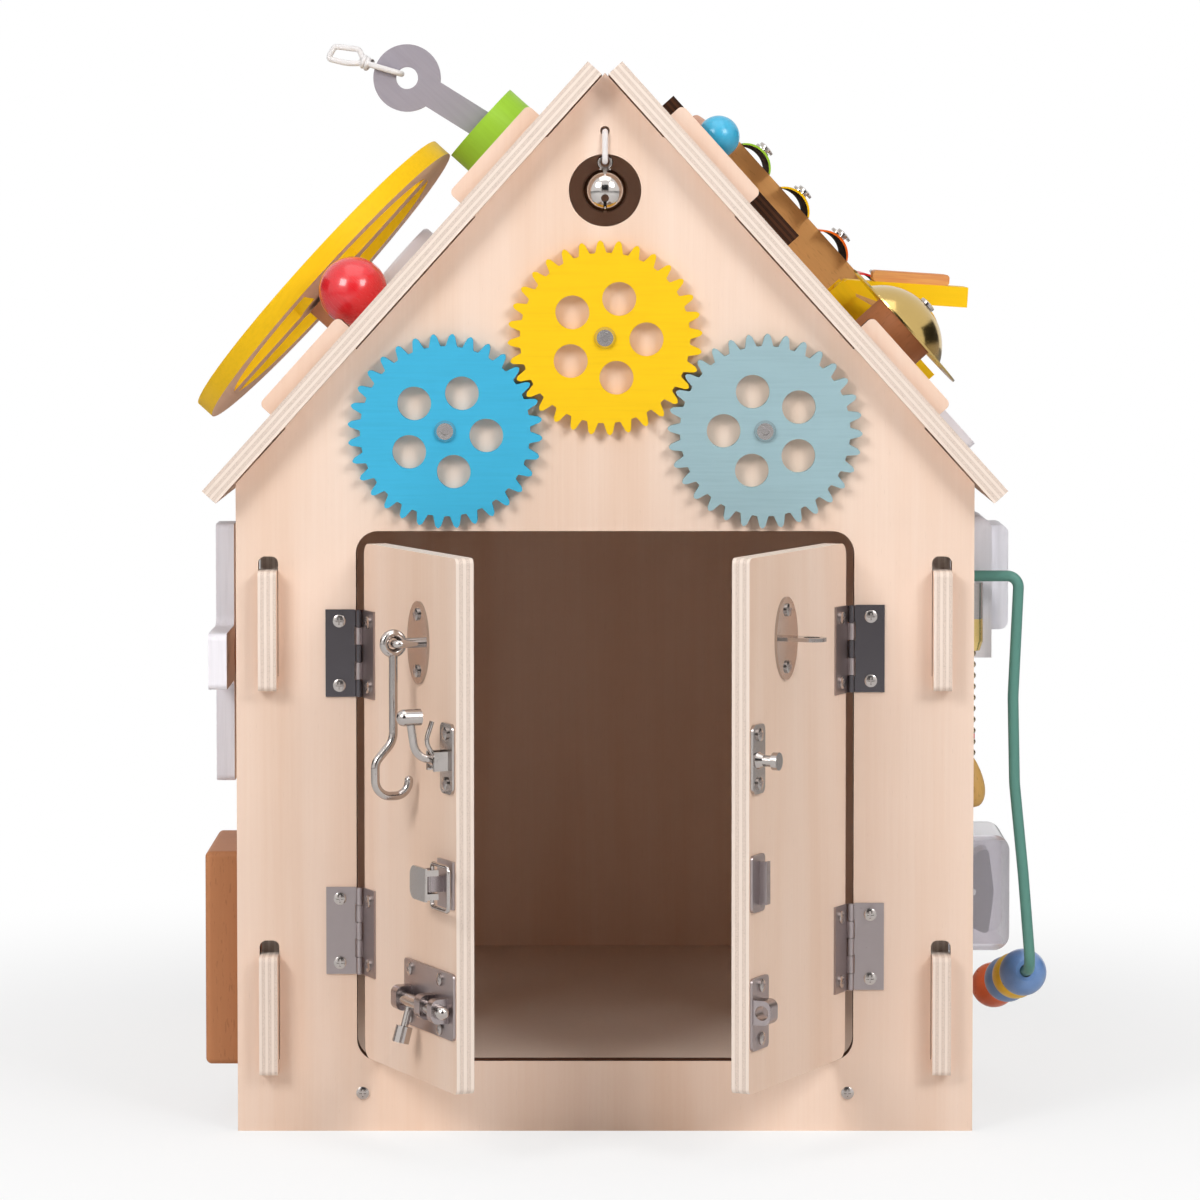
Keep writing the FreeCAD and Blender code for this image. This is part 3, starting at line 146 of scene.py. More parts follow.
class Finish:
    """One procedural material, read in the frame of the piece that it is on."""

    def __init__(self, name, place=HOUSE):
        self.material = bpy.data.materials.new(name)
        self.material.use_nodes = True
        self.tree = self.material.node_tree
        self.shader = self.tree.nodes["Principled BSDF"]
        turn = tuple(place.to_euler("XYZ"))
        spot = tuple(place.to_translation())
        texture = {"vector_type": "TEXTURE"}
        point = self.add("ShaderNodeTexCoord", {}, {}, "Object")
        facing = self.add("ShaderNodeTexCoord", {}, {}, "Normal")
        self.point = self.add("ShaderNodeMapping", texture, {0: point, 1: spot, 2: turn})
        self.facing = self.add("ShaderNodeMapping", texture, {0: facing, 2: turn})
        self.x, self.y, self.z = self.parts(self.point)
        self.nx, self.ny, self.nz = self.parts(self.facing)

    def add(self, kind, settings, values, output=0):
        """Any node: its settings first, then the values or links of its sockets."""
        made = self.tree.nodes.new(kind)
        for name, value in settings.items():
            if name == "stops":
                ramp = made.color_ramp
                ramp.interpolation = "CONSTANT"
                ramp.elements[0].position, ramp.elements[1].position = 0, value[-1][0]
                ramp.elements[0].color, ramp.elements[1].color = (*value[0][1], 1), (*value[-1][1], 1)
                for place, colour in value[1:-1]:
                    ramp.elements.new(place).color = (*colour, 1)
            else:
                setattr(made, name, value)
        for key, value in values.items():
            if isinstance(value, Value):
                self.tree.links.new(value.socket, made.inputs[key])
            else:
                made.inputs[key].default_value = value
        return Value(self, made.outputs[output])

    def parts(self, vector):
        return [self.add("ShaderNodeSeparateXYZ", {}, {0: vector}, index) for index in range(3)]

    def stretched(self, scale):
        """The piece's own coordinates, scaled unevenly so that a pattern runs along the grain."""
        return self.add("ShaderNodeVectorMath", {"operation": "MULTIPLY"}, {0: self.point, 1: scale})

    def noise(self, scale, detail=3, rough=0.55, wander=0.0):
        values = {"Vector": self.stretched(scale), "Scale": 1.0, "Detail": detail, "Roughness": rough,
                  "Distortion": wander}
        return self.add("ShaderNodeTexNoise", {}, values)

    def mix(self, factor, first, second):
        """Blend two colours by a mask."""
        values = {0: factor}
        for key, colour in ((6, first), (7, second)):
            values[key] = colour if isinstance(colour, Value) else (*colour, 1)
        return self.add("ShaderNodeMix", {"data_type": "RGBA"}, values, 2)

    def near(self, middle, radius):
        """1 inside a ball round a point of the piece's frame, 0 outside."""
        away = self.add("ShaderNodeVectorMath", {"operation": "DISTANCE"}, {0: self.point, 1: middle}, 1)
        return away < radius

    def link(self, name, value):
        if isinstance(value, Value):
            self.tree.links.new(value.socket, self.shader.inputs[name])
        else:
            self.shader.inputs[name].default_value = value

    def finish(self, colour, rough, metal=0.0, height=None, depth=0.0002, coat=0.0, **more):
        """Connect the colour, roughness, metal and relief to the shader."""
        self.link("Base Color", colour if isinstance(colour, Value) else (*colour, 1))
        self.link("Roughness", rough)
        self.link("Metallic", metal)
        self.link("Coat Weight", coat)
        if metal == 0.0 and coat == 0.0:
            self.link("Specular IOR Level", MATT)
        for name, value in more.items():
            self.link(name.replace("_", " "), value)
        if height is not None:
            values = {"Strength": 1.0, "Distance": depth, "Height": height}
            self.link("Normal", self.add("ShaderNodeBump", {}, values))
        return self.material


AXES = {"X": 0, "Y": 1, "Z": 2}
MATT = 0.15


def grain_scale(along, fine, long):
    """Fine across the grain and long along it."""
    scale = [fine, fine, fine]
    scale[AXES[along]] = long
    return tuple(scale)


def veneer(made, light, dark, along):
    """Pale birch veneer: soft wide figure, fine fibres and short pores."""
    figure = made.noise(grain_scale(along, 26, 2.2), 2, 0.5, 0.6)
    fibres = made.noise(grain_scale(along, 620, 14), 3, 0.6)
    pores = made.noise(grain_scale(along, 2600, 160), 1).rise(0.68, 0.8)
    tone = figure.rise(0.3, 0.72) * 0.62 + fibres * 0.42
    colour = made.mix(tone, light, dark)
    return made.mix(pores * 0.22, colour, [c * 0.62 for c in dark]), fibres


def layers(made, axis, start, pale, deep, thick=PLY, count=6):
    """The sawn edge of a sheet: plies that alternate, with thin glue lines between them."""
    coordinate = (made.x, made.y, made.z)[AXES[axis]]
    wobble = made.noise((90, 90, 90), 2) * 0.12
    depth = (coordinate - start) / thick * count + wobble
    ply = (depth / 2).fract() > 0.5
    glue = abs(depth.fract() - 0.5).rise(0.42, 0.5)
    end_grain = made.noise((1900, 1900, 1900), 2).rise(0.45, 0.7) * ply
    colour = made.mix(ply * 0.55, pale, deep)
    colour = made.mix(end_grain * 0.5, colour, [c * 0.72 for c in deep])
    return made.mix(glue * 0.4, colour, [c * 0.6 for c in deep]), glue


def sheet_finish(name, place, axis, start, colours, burn=None, along="Z", count=6):
    """A plywood panel: veneer on its faces, plies on its edges, and scorched laser cuts."""
    made = Finish(name, place)
    face, fibres = veneer(made, colours.birch_light, colours.birch_dark, along)
    edge, glue = layers(made, axis, start, colours.ply_pale, colours.ply_deep, count=count)
    if burn is not None:
        scorch = burn(made) if callable(burn) else burn
        char = made.mix(glue * 0.6, colours.scorched, [c * 0.35 for c in colours.scorched])
        edge = made.mix(scorch, edge, char)
    across = abs((made.nx, made.ny, made.nz)[AXES[axis]])
    on_face = across > 0.7
    colour = made.mix(on_face, edge, face)
    return made.finish(colour, 0.62 - fibres * 0.12, height=fibres, depth=0.00006)


def paint(name, colour, place=HOUSE, along="Z", rough=0.42, bare=None, wear=0.0, colours=None):
    """Stained or painted wood: the grain shows faintly through an even colour."""
    made = Finish(name, place)
    fibres = made.noise(grain_scale(along, 700, 34), 3, 0.62)
    cloud = made.noise((24, 24, 24), 2)
    shade = made.mix(fibres.rise(0.35, 0.75) * 0.16 + cloud * 0.07, colour, [c * 0.62 for c in colour])
    if bare is not None:
        wood, _ = veneer(made, colours.birch_light, colours.birch_dark, along)
        shade = made.mix(bare(made), shade, wood)
    return made.finish(shade, rough + fibres * 0.1, height=fibres, depth=0.00005, coat=wear)


def solid_wood(name, colour, place=HOUSE, along="Z", rough=0.46, others=None):
    """Solid beech: straight grain with short rays; others adds a second finish by a mask."""
    made = Finish(name, place)
    figure = made.noise(grain_scale(along, 60, 4), 3, 0.6, 0.4)
    fibres = made.noise(grain_scale(along, 900, 26), 3, 0.6)
    rays = made.noise(grain_scale(along, 1300, 240), 1, 0.5).rise(0.62, 0.75)
    shade = made.mix(figure * 0.5 + fibres * 0.3, colour, [c * 0.66 for c in colour])
    shade = made.mix(rays * 0.35, shade, [c * 0.5 for c in colour])
    metal = 0.0
    roughness = rough + fibres * 0.1
    if others is not None:
        mask, second, metal_share, second_rough = others
        where = mask(made)
        shade = made.mix(where, shade, second)
        metal = where * metal_share
        roughness = roughness * (1 - where) + where * second_rough
    return made.finish(shade, roughness, metal, height=fibres, depth=0.00005)


def plated(name, colour, rough, place=HOUSE, brushed=None, tint=None):
    """Plated or polished metal with faint smears, or fine lines where it is brushed."""
    made = Finish(name, place)
    smear = made.noise((130, 130, 130), 3)
    dust = made.noise((1500, 1500, 1500), 2).rise(0.6, 0.85)
    roughness = rough + smear * 0.1 + dust * 0.05
    lines = made.noise((400, 400, 6000), 2)
    height = dust
    if brushed is not None:
        where = brushed(made)
        roughness = roughness * (1 - where) + where * (0.24 + lines * 0.14)
        height = dust + lines * where
    shade = made.mix(smear * 0.35, colour, [c * 0.8 for c in colour])
    if tint is not None:
        shade = made.mix(tint[0](made), shade, tint[1])
    return made.finish(shade, roughness, 1.0, height=height, depth=0.00003)


def moulded(name, colour, rough=0.22, **more):
    """Moulded plastic with a slight orange peel and a little dust."""
    made = Finish(name)
    peel = made.noise((900, 900, 900), 2)
    dust = made.noise((210, 210, 210), 4).rise(0.55, 0.8)
    shade = made.mix(dust * 0.12, colour, [c * 0.8 for c in colour])
    return made.finish(shade, rough + dust * 0.12, height=peel, depth=0.00003, **more)


def dress(name, material):
    """Give a CAD node its finish."""
    node = nodes[name]
    if node.material_slots:
        node.material_slots[0].material = material
    else:
        node.data.materials.append(material)


def new_piece(name, mesh, material=None):
    made = bpy.data.objects.new(name, mesh)
    bpy.context.scene.collection.objects.link(made)
    if material is not None:
        mesh.materials.append(material)
    return made


def smooth(mesh, degrees=35):
    mesh.polygons.foreach_set("use_smooth", [True] * len(mesh.polygons))
    mesh.set_sharp_from_angle(angle=math.radians(degrees))
    mesh.update()


def baked(source, name):
    """The evaluated piece as one plain mesh; the source and its modifier go."""
    graph = bpy.context.evaluated_depsgraph_get()
    mesh = bpy.data.meshes.new_from_object(source.evaluated_get(graph))
    kept = bpy.data.objects.new(name, mesh)
    bpy.context.scene.collection.objects.link(kept)
    bpy.data.objects.remove(source)
    return kept


class Tree:
    """A geometry node tree with named inputs."""

    def __init__(self, name, inputs):
        self.tree = bpy.data.node_groups.new(name, "GeometryNodeTree")
        self.tree.interface.new_socket("Geometry", in_out="INPUT", socket_type="NodeSocketGeometry")
        self.keys = {}
        for label, kind, value in inputs:
            socket = self.tree.interface.new_socket(label, in_out="INPUT", socket_type=kind)
            if value is not None:
                socket.default_value = value
            self.keys[label] = socket.identifier
        self.tree.interface.new_socket("Geometry", in_out="OUTPUT", socket_type="NodeSocketGeometry")
        self.start = self.tree.nodes.new("NodeGroupInput")
        self.end = self.tree.nodes.new("NodeGroupOutput")

    def input(self, label):
        return self.start.outputs[label]

    def add(self, kind, settings, values, output=0):
        made = self.tree.nodes.new(kind)
        for name, value in settings.items():
            setattr(made, name, value)
        for key, value in values.items():
            several = value if isinstance(value, list) else [value]
            for one in several:
                if isinstance(one, bpy.types.NodeSocket):
                    self.tree.links.new(one, made.inputs[key])
                else:
                    made.inputs[key].default_value = one
        return made.outputs[output]

    def close(self, geometry):
        """Every tree ends in plain geometry with its material set."""
        real = self.add("GeometryNodeRealizeInstances", {}, {0: geometry})
        done = self.add("GeometryNodeSetMaterial", {}, {0: real, 2: self.input("Material")})
        self.tree.links.new(done, self.end.inputs[0])

    def on(self, source, **values):
        held = source.modifiers.new("Pattern", "NODES")
        held.node_group = self.tree
        for label, value in values.items():
            held[self.keys[label]] = value
        return source


def screw_tree():
    """Pan heads with a cross recess and a shank, on points that carry a direction and a radius."""
    tree = Tree("Pan heads", [
        ("Material", "NodeSocketMaterial", None), ("Rise", "NodeSocketFloat", 0.46),
        ("Recess", "NodeSocketFloat", 0.26), ("Slot", "NodeSocketFloat", 0.24),
        ("Shank", "NodeSocketFloat", 0.42),
    ])
    # the crown is the top of a wider squashed ball, cut to the head's own round outline
    wider = 1.3
    dome = tree.add("GeometryNodeMeshUVSphere", {}, {"Segments": 32, "Rings": 24, "Radius": wider})
    squash = tree.add("ShaderNodeMath", {"operation": "DIVIDE"}, {0: tree.input("Rise"), 1: wider})
    flat = tree.add("ShaderNodeCombineXYZ", {}, {0: 1.0, 1: 1.0, 2: squash})
    dome = tree.add("GeometryNodeTransform", {}, {"Geometry": dome, "Scale": flat})
    outline = tree.add("GeometryNodeMeshCylinder", {}, {"Vertices": 32, "Radius": 1.0, "Depth": 3.0})
    dome = tree.add("GeometryNodeMeshBoolean", {"operation": "INTERSECT", "solver": "EXACT"}, {
        "Mesh 2": [dome, outline]})
    under = tree.add("GeometryNodeMeshCube", {}, {"Size": (3.0, 3.0, 2.0)})
    under = tree.add("GeometryNodeTransform", {}, {"Geometry": under, "Translation": (0.0, 0.0, -1.02)})
    bars = [under]
    twice = tree.add("ShaderNodeMath", {"operation": "MULTIPLY"}, {0: tree.input("Recess"), 1: 2.0})
    for turned in (False, True):
        sides = {0: tree.input("Slot"), 1: 1.15, 2: twice}
        if turned:
            sides = {0: 1.15, 1: tree.input("Slot"), 2: twice}
        bar = tree.add("GeometryNodeMeshCube", {}, {
            "Size": tree.add("ShaderNodeCombineXYZ", {}, sides)})
        lift = tree.add("ShaderNodeCombineXYZ", {}, {2: tree.input("Rise")})
        bars.append(tree.add("GeometryNodeTransform", {}, {"Geometry": bar, "Translation": lift}))
    head = tree.add("GeometryNodeMeshBoolean", {"operation": "DIFFERENCE", "solver": "EXACT"}, {
        "Mesh 1": dome, "Mesh 2": bars})
    shank = tree.add("GeometryNodeMeshCylinder", {}, {
        "Vertices": 20, "Radius": 0.45, "Depth": tree.input("Shank")})
    half = tree.add("ShaderNodeMath", {"operation": "MULTIPLY"}, {0: tree.input("Shank"), 1: -0.49})
    drop = tree.add("ShaderNodeCombineXYZ", {}, {2: half})
    shank = tree.add("GeometryNodeTransform", {}, {"Geometry": shank, "Translation": drop})
    head = tree.add("GeometryNodeJoinGeometry", {}, {0: [head, shank]})
    direction = tree.add("GeometryNodeInputNamedAttribute", {"data_type": "FLOAT_VECTOR"}, {
        "Name": "direction"})
    radius = tree.add("GeometryNodeInputNamedAttribute", {"data_type": "FLOAT"}, {"Name": "spread"})
    turn = tree.add("FunctionNodeAlignRotationToVector", {"axis": "Z"}, {"Vector": direction})
    placed = tree.add("GeometryNodeInstanceOnPoints", {}, {
        "Points": tree.input("Geometry"), "Instance": head, "Rotation": turn, "Scale": radius})
    tree.close(placed)
    return tree


def ball_chain_tree():
    """Small balls with thin links between them, on a row of points."""
    tree = Tree("Ball chain", [
        ("Material", "NodeSocketMaterial", None), ("Radius", "NodeSocketFloat", 0.0016),
        ("Link", "NodeSocketFloat", 0.00055), ("Pitch", "NodeSocketFloat", CHAIN_PITCH),
    ])
    bead = tree.add("GeometryNodeMeshUVSphere", {}, {
        "Segments": 20, "Rings": 12, "Radius": tree.input("Radius")})
    pin = tree.add("GeometryNodeMeshCylinder", {}, {
        "Vertices": 10, "Radius": tree.input("Link"), "Depth": tree.input("Pitch")})
    half = tree.add("ShaderNodeMath", {"operation": "MULTIPLY"}, {0: tree.input("Pitch"), 1: 0.5})
    lift = tree.add("ShaderNodeCombineXYZ", {}, {2: half})
    pin = tree.add("GeometryNodeTransform", {}, {"Geometry": pin, "Translation": lift})
    both = tree.add("GeometryNodeJoinGeometry", {}, {0: [bead, pin]})
    tree.close(tree.add("GeometryNodeInstanceOnPoints", {}, {
        "Points": tree.input("Geometry"), "Instance": both}))
    return tree


def points_piece(name, spots):
    """Points with the direction and radius that the screw tree reads."""
    mesh = bpy.data.meshes.new(name)
    mesh.from_pydata([spot for spot, _, _ in spots], [], [])
    for label, kind in (("direction", "FLOAT_VECTOR"), ("spread", "FLOAT")):
        mesh.attributes.new(label, kind, "POINT")
    facing, spread = mesh.attributes["direction"], mesh.attributes["spread"]
    for index, (_, direction, radius) in enumerate(spots):
        facing.data[index].vector = direction
        spread.data[index].value = radius
    made = bpy.data.objects.new(name, mesh)
    bpy.context.scene.collection.objects.link(made)
    return made


HEAD_RADIUS = 0.00275
BAR_HEAD_RADIUS = 0.0038
DOME_HEAD_RADIUS = 0.0037
LEFT_LEAVES, RIGHT_LEAVES = (88, 209), (81, 211)
LEAF_SCREW = 14
LEAF_ROW, LEAF_FACE = 0.1152, -0.1708
BATTEN_ROW, BATTEN_HEIGHT = 0.1056, 0.0167
RAIL_ROWS = (-0.0175, 0.0465)
CYMBAL_CROWN = Vector((0.170, -0.127, 0.0376))


def house_heads():
    """Screws on the house: hinge leaves, floor battens, bars and dome."""
    out = Vector((0, -1, 0))
    spots = []
    for side, middles in ((-1, LEFT_LEAVES), (1, RIGHT_LEAVES)):
        for middle in middles:
            for height in (middle - LEAF_SCREW, middle + LEAF_SCREW):
                spots.append((Vector((side * LEAF_ROW, LEAF_FACE, height * MM)), out, HEAD_RADIUS))
    for side in (-1, 1):
        for facing in (out, -out):
            spot = Vector((side * BATTEN_ROW, facing.y * -FRONT_FACE, BATTEN_HEIGHT))
            spots.append((spot, facing, HEAD_RADIUS))
    normal = RIGHT_ROOF.to_3x3() @ Vector((0, 0, 1))
    for index in range(4):
        for across in RAIL_ROWS:
            spot = RIGHT_ROOF @ Vector((BAR_DOWN + index * BAR_PITCH, across, BAR_HEAD))
            spots.append((spot, normal, BAR_HEAD_RADIUS))
    spots.append((RIGHT_ROOF @ CYMBAL_CROWN, normal, DOME_HEAD_RADIUS))
    return spots


def door_heads(side):
    """Screws on a door, in its own millimetres: its leaves and the plates of its locks."""
    place = LEFT_DOOR if side > 0 else RIGHT_DOOR
    spots = []
    for middle in LEFT_LEAVES if side > 0 else RIGHT_LEAVES:
        for height in (middle - LEAF_SCREW, middle + LEAF_SCREW):
            spots.append((8.6, height, 0.8))
    if side > 0:
        # the hook's plate, the latch and the bolt's plate
        spots += [(65, 207, 1.2), (65, 231, 1.2), (97, 162.8, 1.4), (97, 183.8, 1.4)]
        spots += [(across, height, 1.2) for across in (57, 90) for height in (59, 79.7)]
    else:
        # the eye's plate, the stud and the bolt's keeper
        spots += [(68, 209, 1.2), (68, 233, 1.2), (98, 162.8, 1.4), (98, 183.2, 1.4)]
        spots += [(95, 55.5, 1.2), (95, 77.8, 1.2)]
    normal = place.to_3x3() @ Vector((0, -1, 0))
    return [
        (place @ Vector((side * across * MM, DOOR_FACE - stand * MM, height * MM)), normal, HEAD_RADIUS)
        for across, height, stand in spots
    ]


def colour_property(label, default):
    return FloatVectorProperty(
        name=label, description=f"Colour of the {label.lower()}", subtype="COLOR", size=3,
        min=0, max=1, default=default)


class HouseColours(bpy.types.PropertyGroup):
    birch_light: colour_property("Light veneer", (0.88, 0.70, 0.585))
    birch_dark: colour_property("Dark veneer", (0.79, 0.56, 0.42))
    ply_pale: colour_property("Pale ply layers", (0.84, 0.715, 0.625))
    ply_deep: colour_property("Deep ply layers", (0.67, 0.53, 0.44))
    scorched: colour_property("Scorched laser cuts", (0.075, 0.028, 0.012))
    blue: colour_property("Blue paint", (0.055, 0.44, 0.68))
    yellow: colour_property("Yellow paint", (0.95, 0.58, 0.008))
    grey_blue: colour_property("Grey-blue paint", (0.33, 0.48, 0.52))
    red: colour_property("Red paint", (0.76, 0.018, 0.026))
    green: colour_property("Green paint", (0.33, 0.60, 0.045))
    white: colour_property("White paint", (0.88, 0.855, 0.90))
    key_grey: colour_property("Grey key paint", (0.36, 0.33, 0.375))
    beech: colour_property("Beech", (0.62, 0.26, 0.115))
    honey: colour_property("Honey hardwood", (0.74, 0.39, 0.14))
    sky: colour_property("Light blue bead", (0.16, 0.30, 0.60))
    orange: colour_property("Orange bead", (0.78, 0.13, 0.03))
    coating: colour_property("Green wire coating", (0.12, 0.285, 0.235))


class HouseSizes(bpy.types.PropertyGroup):
    lens: FloatProperty(
        name="Lens", description="Focal length of the camera in millimetres", default=150, min=50, max=300)
    camera_distance: FloatProperty(
        name="Camera distance", description="From the front panel to the camera", default=2.161,
        min=0.5, max=5, subtype="DISTANCE", unit="LENGTH")
    camera_height: FloatProperty(
        name="Camera height", description="Height of the camera over the floor", default=0.409,
        min=0.1, max=2, subtype="DISTANCE", unit="LENGTH")
    head_rise: FloatProperty(
        name="Screw head rise", description="Rise of a pan head, as a share of its radius",
        default=0.46, min=0.2, max=1)
    cord_radius: FloatProperty(
        name="Cord radius", description="Radius of the key's cord", default=0.0013, min=0.0005,
        max=0.003, subtype="DISTANCE", unit="LENGTH")


CAMERA_X = 0.003
CAMERA_PITCH = math.radians(87)
CAMERA_SHIFT = (-0.01, -0.1223)
SKY = (0.95, 0.97, 1.0, 1)
SKY_STRENGTH = 0.17
# the floor's shadow fades out between these distances from the middle of the house
SHADOW_NEAR, SHADOW_FAR = 0.2, 0.62


def area_light(name, spot, aim, width, power):
    lamp = bpy.data.lights.new(name, "AREA")
    lamp.shape = "SQUARE"
    lamp.size = width
    lamp.energy = power
    made = bpy.data.objects.new(name, lamp)
    bpy.context.scene.collection.objects.link(made)
    made.location = spot
    made.rotation_euler = (Vector(aim) - Vector(spot)).to_track_quat("-Z", "Y").to_euler()


def plane(name, middle, right, up):
    """A flat card from its middle and its two half sides."""
    middle, right, up = Vector(middle), Vector(right), Vector(up)
    mesh = bpy.data.meshes.new(name)
    corners = [middle - right - up, middle + right - up, middle + right + up, middle - right + up]
    mesh.from_pydata(corners, [], [(0, 1, 2, 3)])
    return new_piece(name, mesh)


def flag_cloth(name):
    """Dark cloth that metal mirrors, paler below so that low flat plates stay light."""
    made = Finish(f"{name} cloth")
    weave = made.noise((60, 60, 60), 2)
    dark = made.mix(weave, (0.018, 0.018, 0.02), (0.03, 0.03, 0.032))
    shade = made.mix(made.z.rise(0.28, 0.5), (0.45, 0.41, 0.39), dark)
    made.link("Emission Color", shade)
    made.link("Emission Strength", 1.0)
    return made.finish((0, 0, 0), 0.9)


def white_beyond(tree, shader, output, socket):
    """Camera, mirror and clear rays see plain white; other rays see the shader."""
    path = tree.nodes.new("ShaderNodeLightPath")
    seen = tree.nodes.new("ShaderNodeMath")
    seen.operation = "MAXIMUM"
    either = tree.nodes.new("ShaderNodeMath")
    either.operation = "MAXIMUM"
    tree.links.new(path.outputs["Is Camera Ray"], seen.inputs[0])
    tree.links.new(path.outputs["Is Glossy Ray"], seen.inputs[1])
    tree.links.new(seen.outputs[0], either.inputs[0])
    tree.links.new(path.outputs["Is Transmission Ray"], either.inputs[1])
    white = tree.nodes.new("ShaderNodeBackground")
    mixed = tree.nodes.new("ShaderNodeMixShader")
    white.inputs[0].default_value = (1, 1, 1, 1)
    tree.links.new(either.outputs[0], mixed.inputs[0])
    tree.links.new(shader, mixed.inputs[1])
    tree.links.new(white.outputs[0], mixed.inputs[2])
    tree.links.new(mixed.outputs[0], output.inputs[socket])


class HOUSE_OT_stage(bpy.types.Operator):
    """Make the camera, the lamps, the world and the pale floor"""
    bl_idname = "activity_house.stage"
    bl_label = "Stage"

    def execute(self, context):
        sizes = context.scene.house_sizes
        lens = bpy.data.cameras.new("Camera")
        lens.lens = sizes.lens
        lens.sensor_width = 36
        lens.shift_x, lens.shift_y = CAMERA_SHIFT
        camera = bpy.data.objects.new("Camera", lens)
        context.scene.collection.objects.link(camera)
        camera.location = (CAMERA_X, FRONT_FACE - sizes.camera_distance, sizes.camera_height)
        camera.rotation_euler = (CAMERA_PITCH, 0, 0)
        context.scene.camera = camera
        context.scene.view_settings.view_transform = "Standard"

        world = bpy.data.worlds.new("Studio")
        context.scene.world = world
        world.use_nodes = True
        backdrop = world.node_tree.nodes["Background"]
        backdrop.inputs[0].default_value = SKY
        backdrop.inputs[1].default_value = SKY_STRENGTH
        output = world.node_tree.nodes["World Output"]
        white_beyond(world.node_tree, backdrop.outputs[0], output, "Surface")

        area_light("Left softbox", (-1.2, -1.7, 1.4), (0, -0.1, 0.22), 0.8, 24)
        area_light("Right softbox", (1.2, -1.7, 1.4), (0, -0.1, 0.22), 0.8, 22)
        area_light("Top softbox", (0, -0.5, 1.9), (0, 0, 0.2), 1.4, 8)
        flags = (
            plane("Front flag", (0, -2.9, 0.95), (0.9, 0, 0), (0, 0, 0.95)),
            plane("Left flag", (-2.0, 0.9, 0.6), (0, 1.1, 0), (0, 0, 0.6)),
            plane("Right flag", (2.0, 0.9, 0.6), (0, -1.1, 0), (0, 0, 0.6)),
        )
        for flag in flags:
            flag.data.materials.append(flag_cloth(flag.name))
            flag.visible_camera = False

        ground = plane("Floor", (0, 0, 0), (6, 0, 0), (0, 6, 0))
        made = Finish("Pale studio floor")
        speck = made.noise((3, 3, 3), 2)
        made.finish(made.mix(speck * 0.05, (0.9, 0.9, 0.9), (0.84, 0.84, 0.84)), 0.7)
        # the camera sees the shadow near the house, and plain white beyond it
        away = made.add("ShaderNodeVectorMath", {"operation": "LENGTH"}, {0: made.point}, 1)
        to_camera = made.add("ShaderNodeLightPath", {}, {}, "Is Camera Ray")
        share = to_camera * (away.rise(SHADOW_NEAR, SHADOW_FAR) * 0.3 + 0.7)
        mixer = made.tree.nodes.new("ShaderNodeMixShader")
        clear = made.tree.nodes.new("ShaderNodeEmission")
        clear.inputs[0].default_value = (1, 1, 1, 1)
        made.tree.links.new(share.socket, mixer.inputs[0])
        made.tree.links.new(made.shader.outputs[0], mixer.inputs[1])
        made.tree.links.new(clear.outputs[0], mixer.inputs[2])
        made.tree.links.new(mixer.outputs[0], made.tree.nodes["Material Output"].inputs["Surface"])
        ground.data.materials.append(made.material)
        return {"FINISHED"}


FLOOR_PAINT = (0.84, 0.70, 0.60)
# the slopes are sawn at their two ends and laser cut everywhere between them
ROOF_ENDS = 0.176


class HOUSE_OT_shell(bpy.types.Operator):
    """Finish the panels, walls, roof and floor in plywood"""
    bl_idname = "activity_house.shell"
    bl_label = "Plywood shell"

    def execute(self, context):
        colours = context.scene.house_colours
        everywhere = 1.0
        dress("front_panel", sheet_finish("Front ply", HOUSE, "Y", FRONT_FACE, colours, everywhere))
        dress("back_panel", sheet_finish("Back ply", HOUSE, "Y", BACK_INSIDE, colours, everywhere))
        dress("left_wall", sheet_finish("Left wall ply", HOUSE, "X", LEFT_FACE, colours))
        dress("right_wall", sheet_finish("Right wall ply", HOUSE, "X", RIGHT_INSIDE, colours))
        for name, place in (("roof_left", LEFT_ROOF), ("roof_right", RIGHT_ROOF)):
            dress(name, sheet_finish(
                f"{name} ply", place, "Z", ROOF_UNDER, colours, lambda made: abs(made.y) < ROOF_ENDS, "Y"))
        made = Finish("Floor board")
        edge, _ = layers(made, "Z", FLOOR_UNDER, colours.ply_pale, colours.ply_deep)
        fleck = made.noise((260, 260, 260), 3)
        top = made.mix(fleck * 0.2, FLOOR_PAINT, [c * 0.8 for c in FLOOR_PAINT])
        under, fibres = veneer(made, colours.birch_light, colours.birch_dark, "X")
        shade = made.mix(abs(made.nz) > 0.7, edge, top)
        shade = made.mix(made.z < FLOOR_UNDER - 0.0001, shade, under)
        dress("floor_panel", made.finish(shade, 0.5 + fleck * 0.12, height=fibres, depth=0.00003))
        return {"FINISHED"}


class HOUSE_OT_doors(bpy.types.Operator):
    """Finish both doors in plywood"""
    bl_idname = "activity_house.doors"
    bl_label = "Doors"

    def execute(self, context):
        colours = context.scene.house_colours
        for name, place in (("left_door", LEFT_DOOR), ("right_door", RIGHT_DOOR)):
            dress(name, sheet_finish(f"{name} ply", place, "Y", DOOR_FACE, colours, count=5))
        return {"FINISHED"}


LEAF_SPLIT = 0.15
NICKEL = (0.52, 0.475, 0.45)
STEEL = (0.42, 0.365, 0.365)
# near-black metal colour: a painted dark reflection, not a darker steel
PAINTED_DARK_REFLECTION = (0.13, 0.12, 0.13)


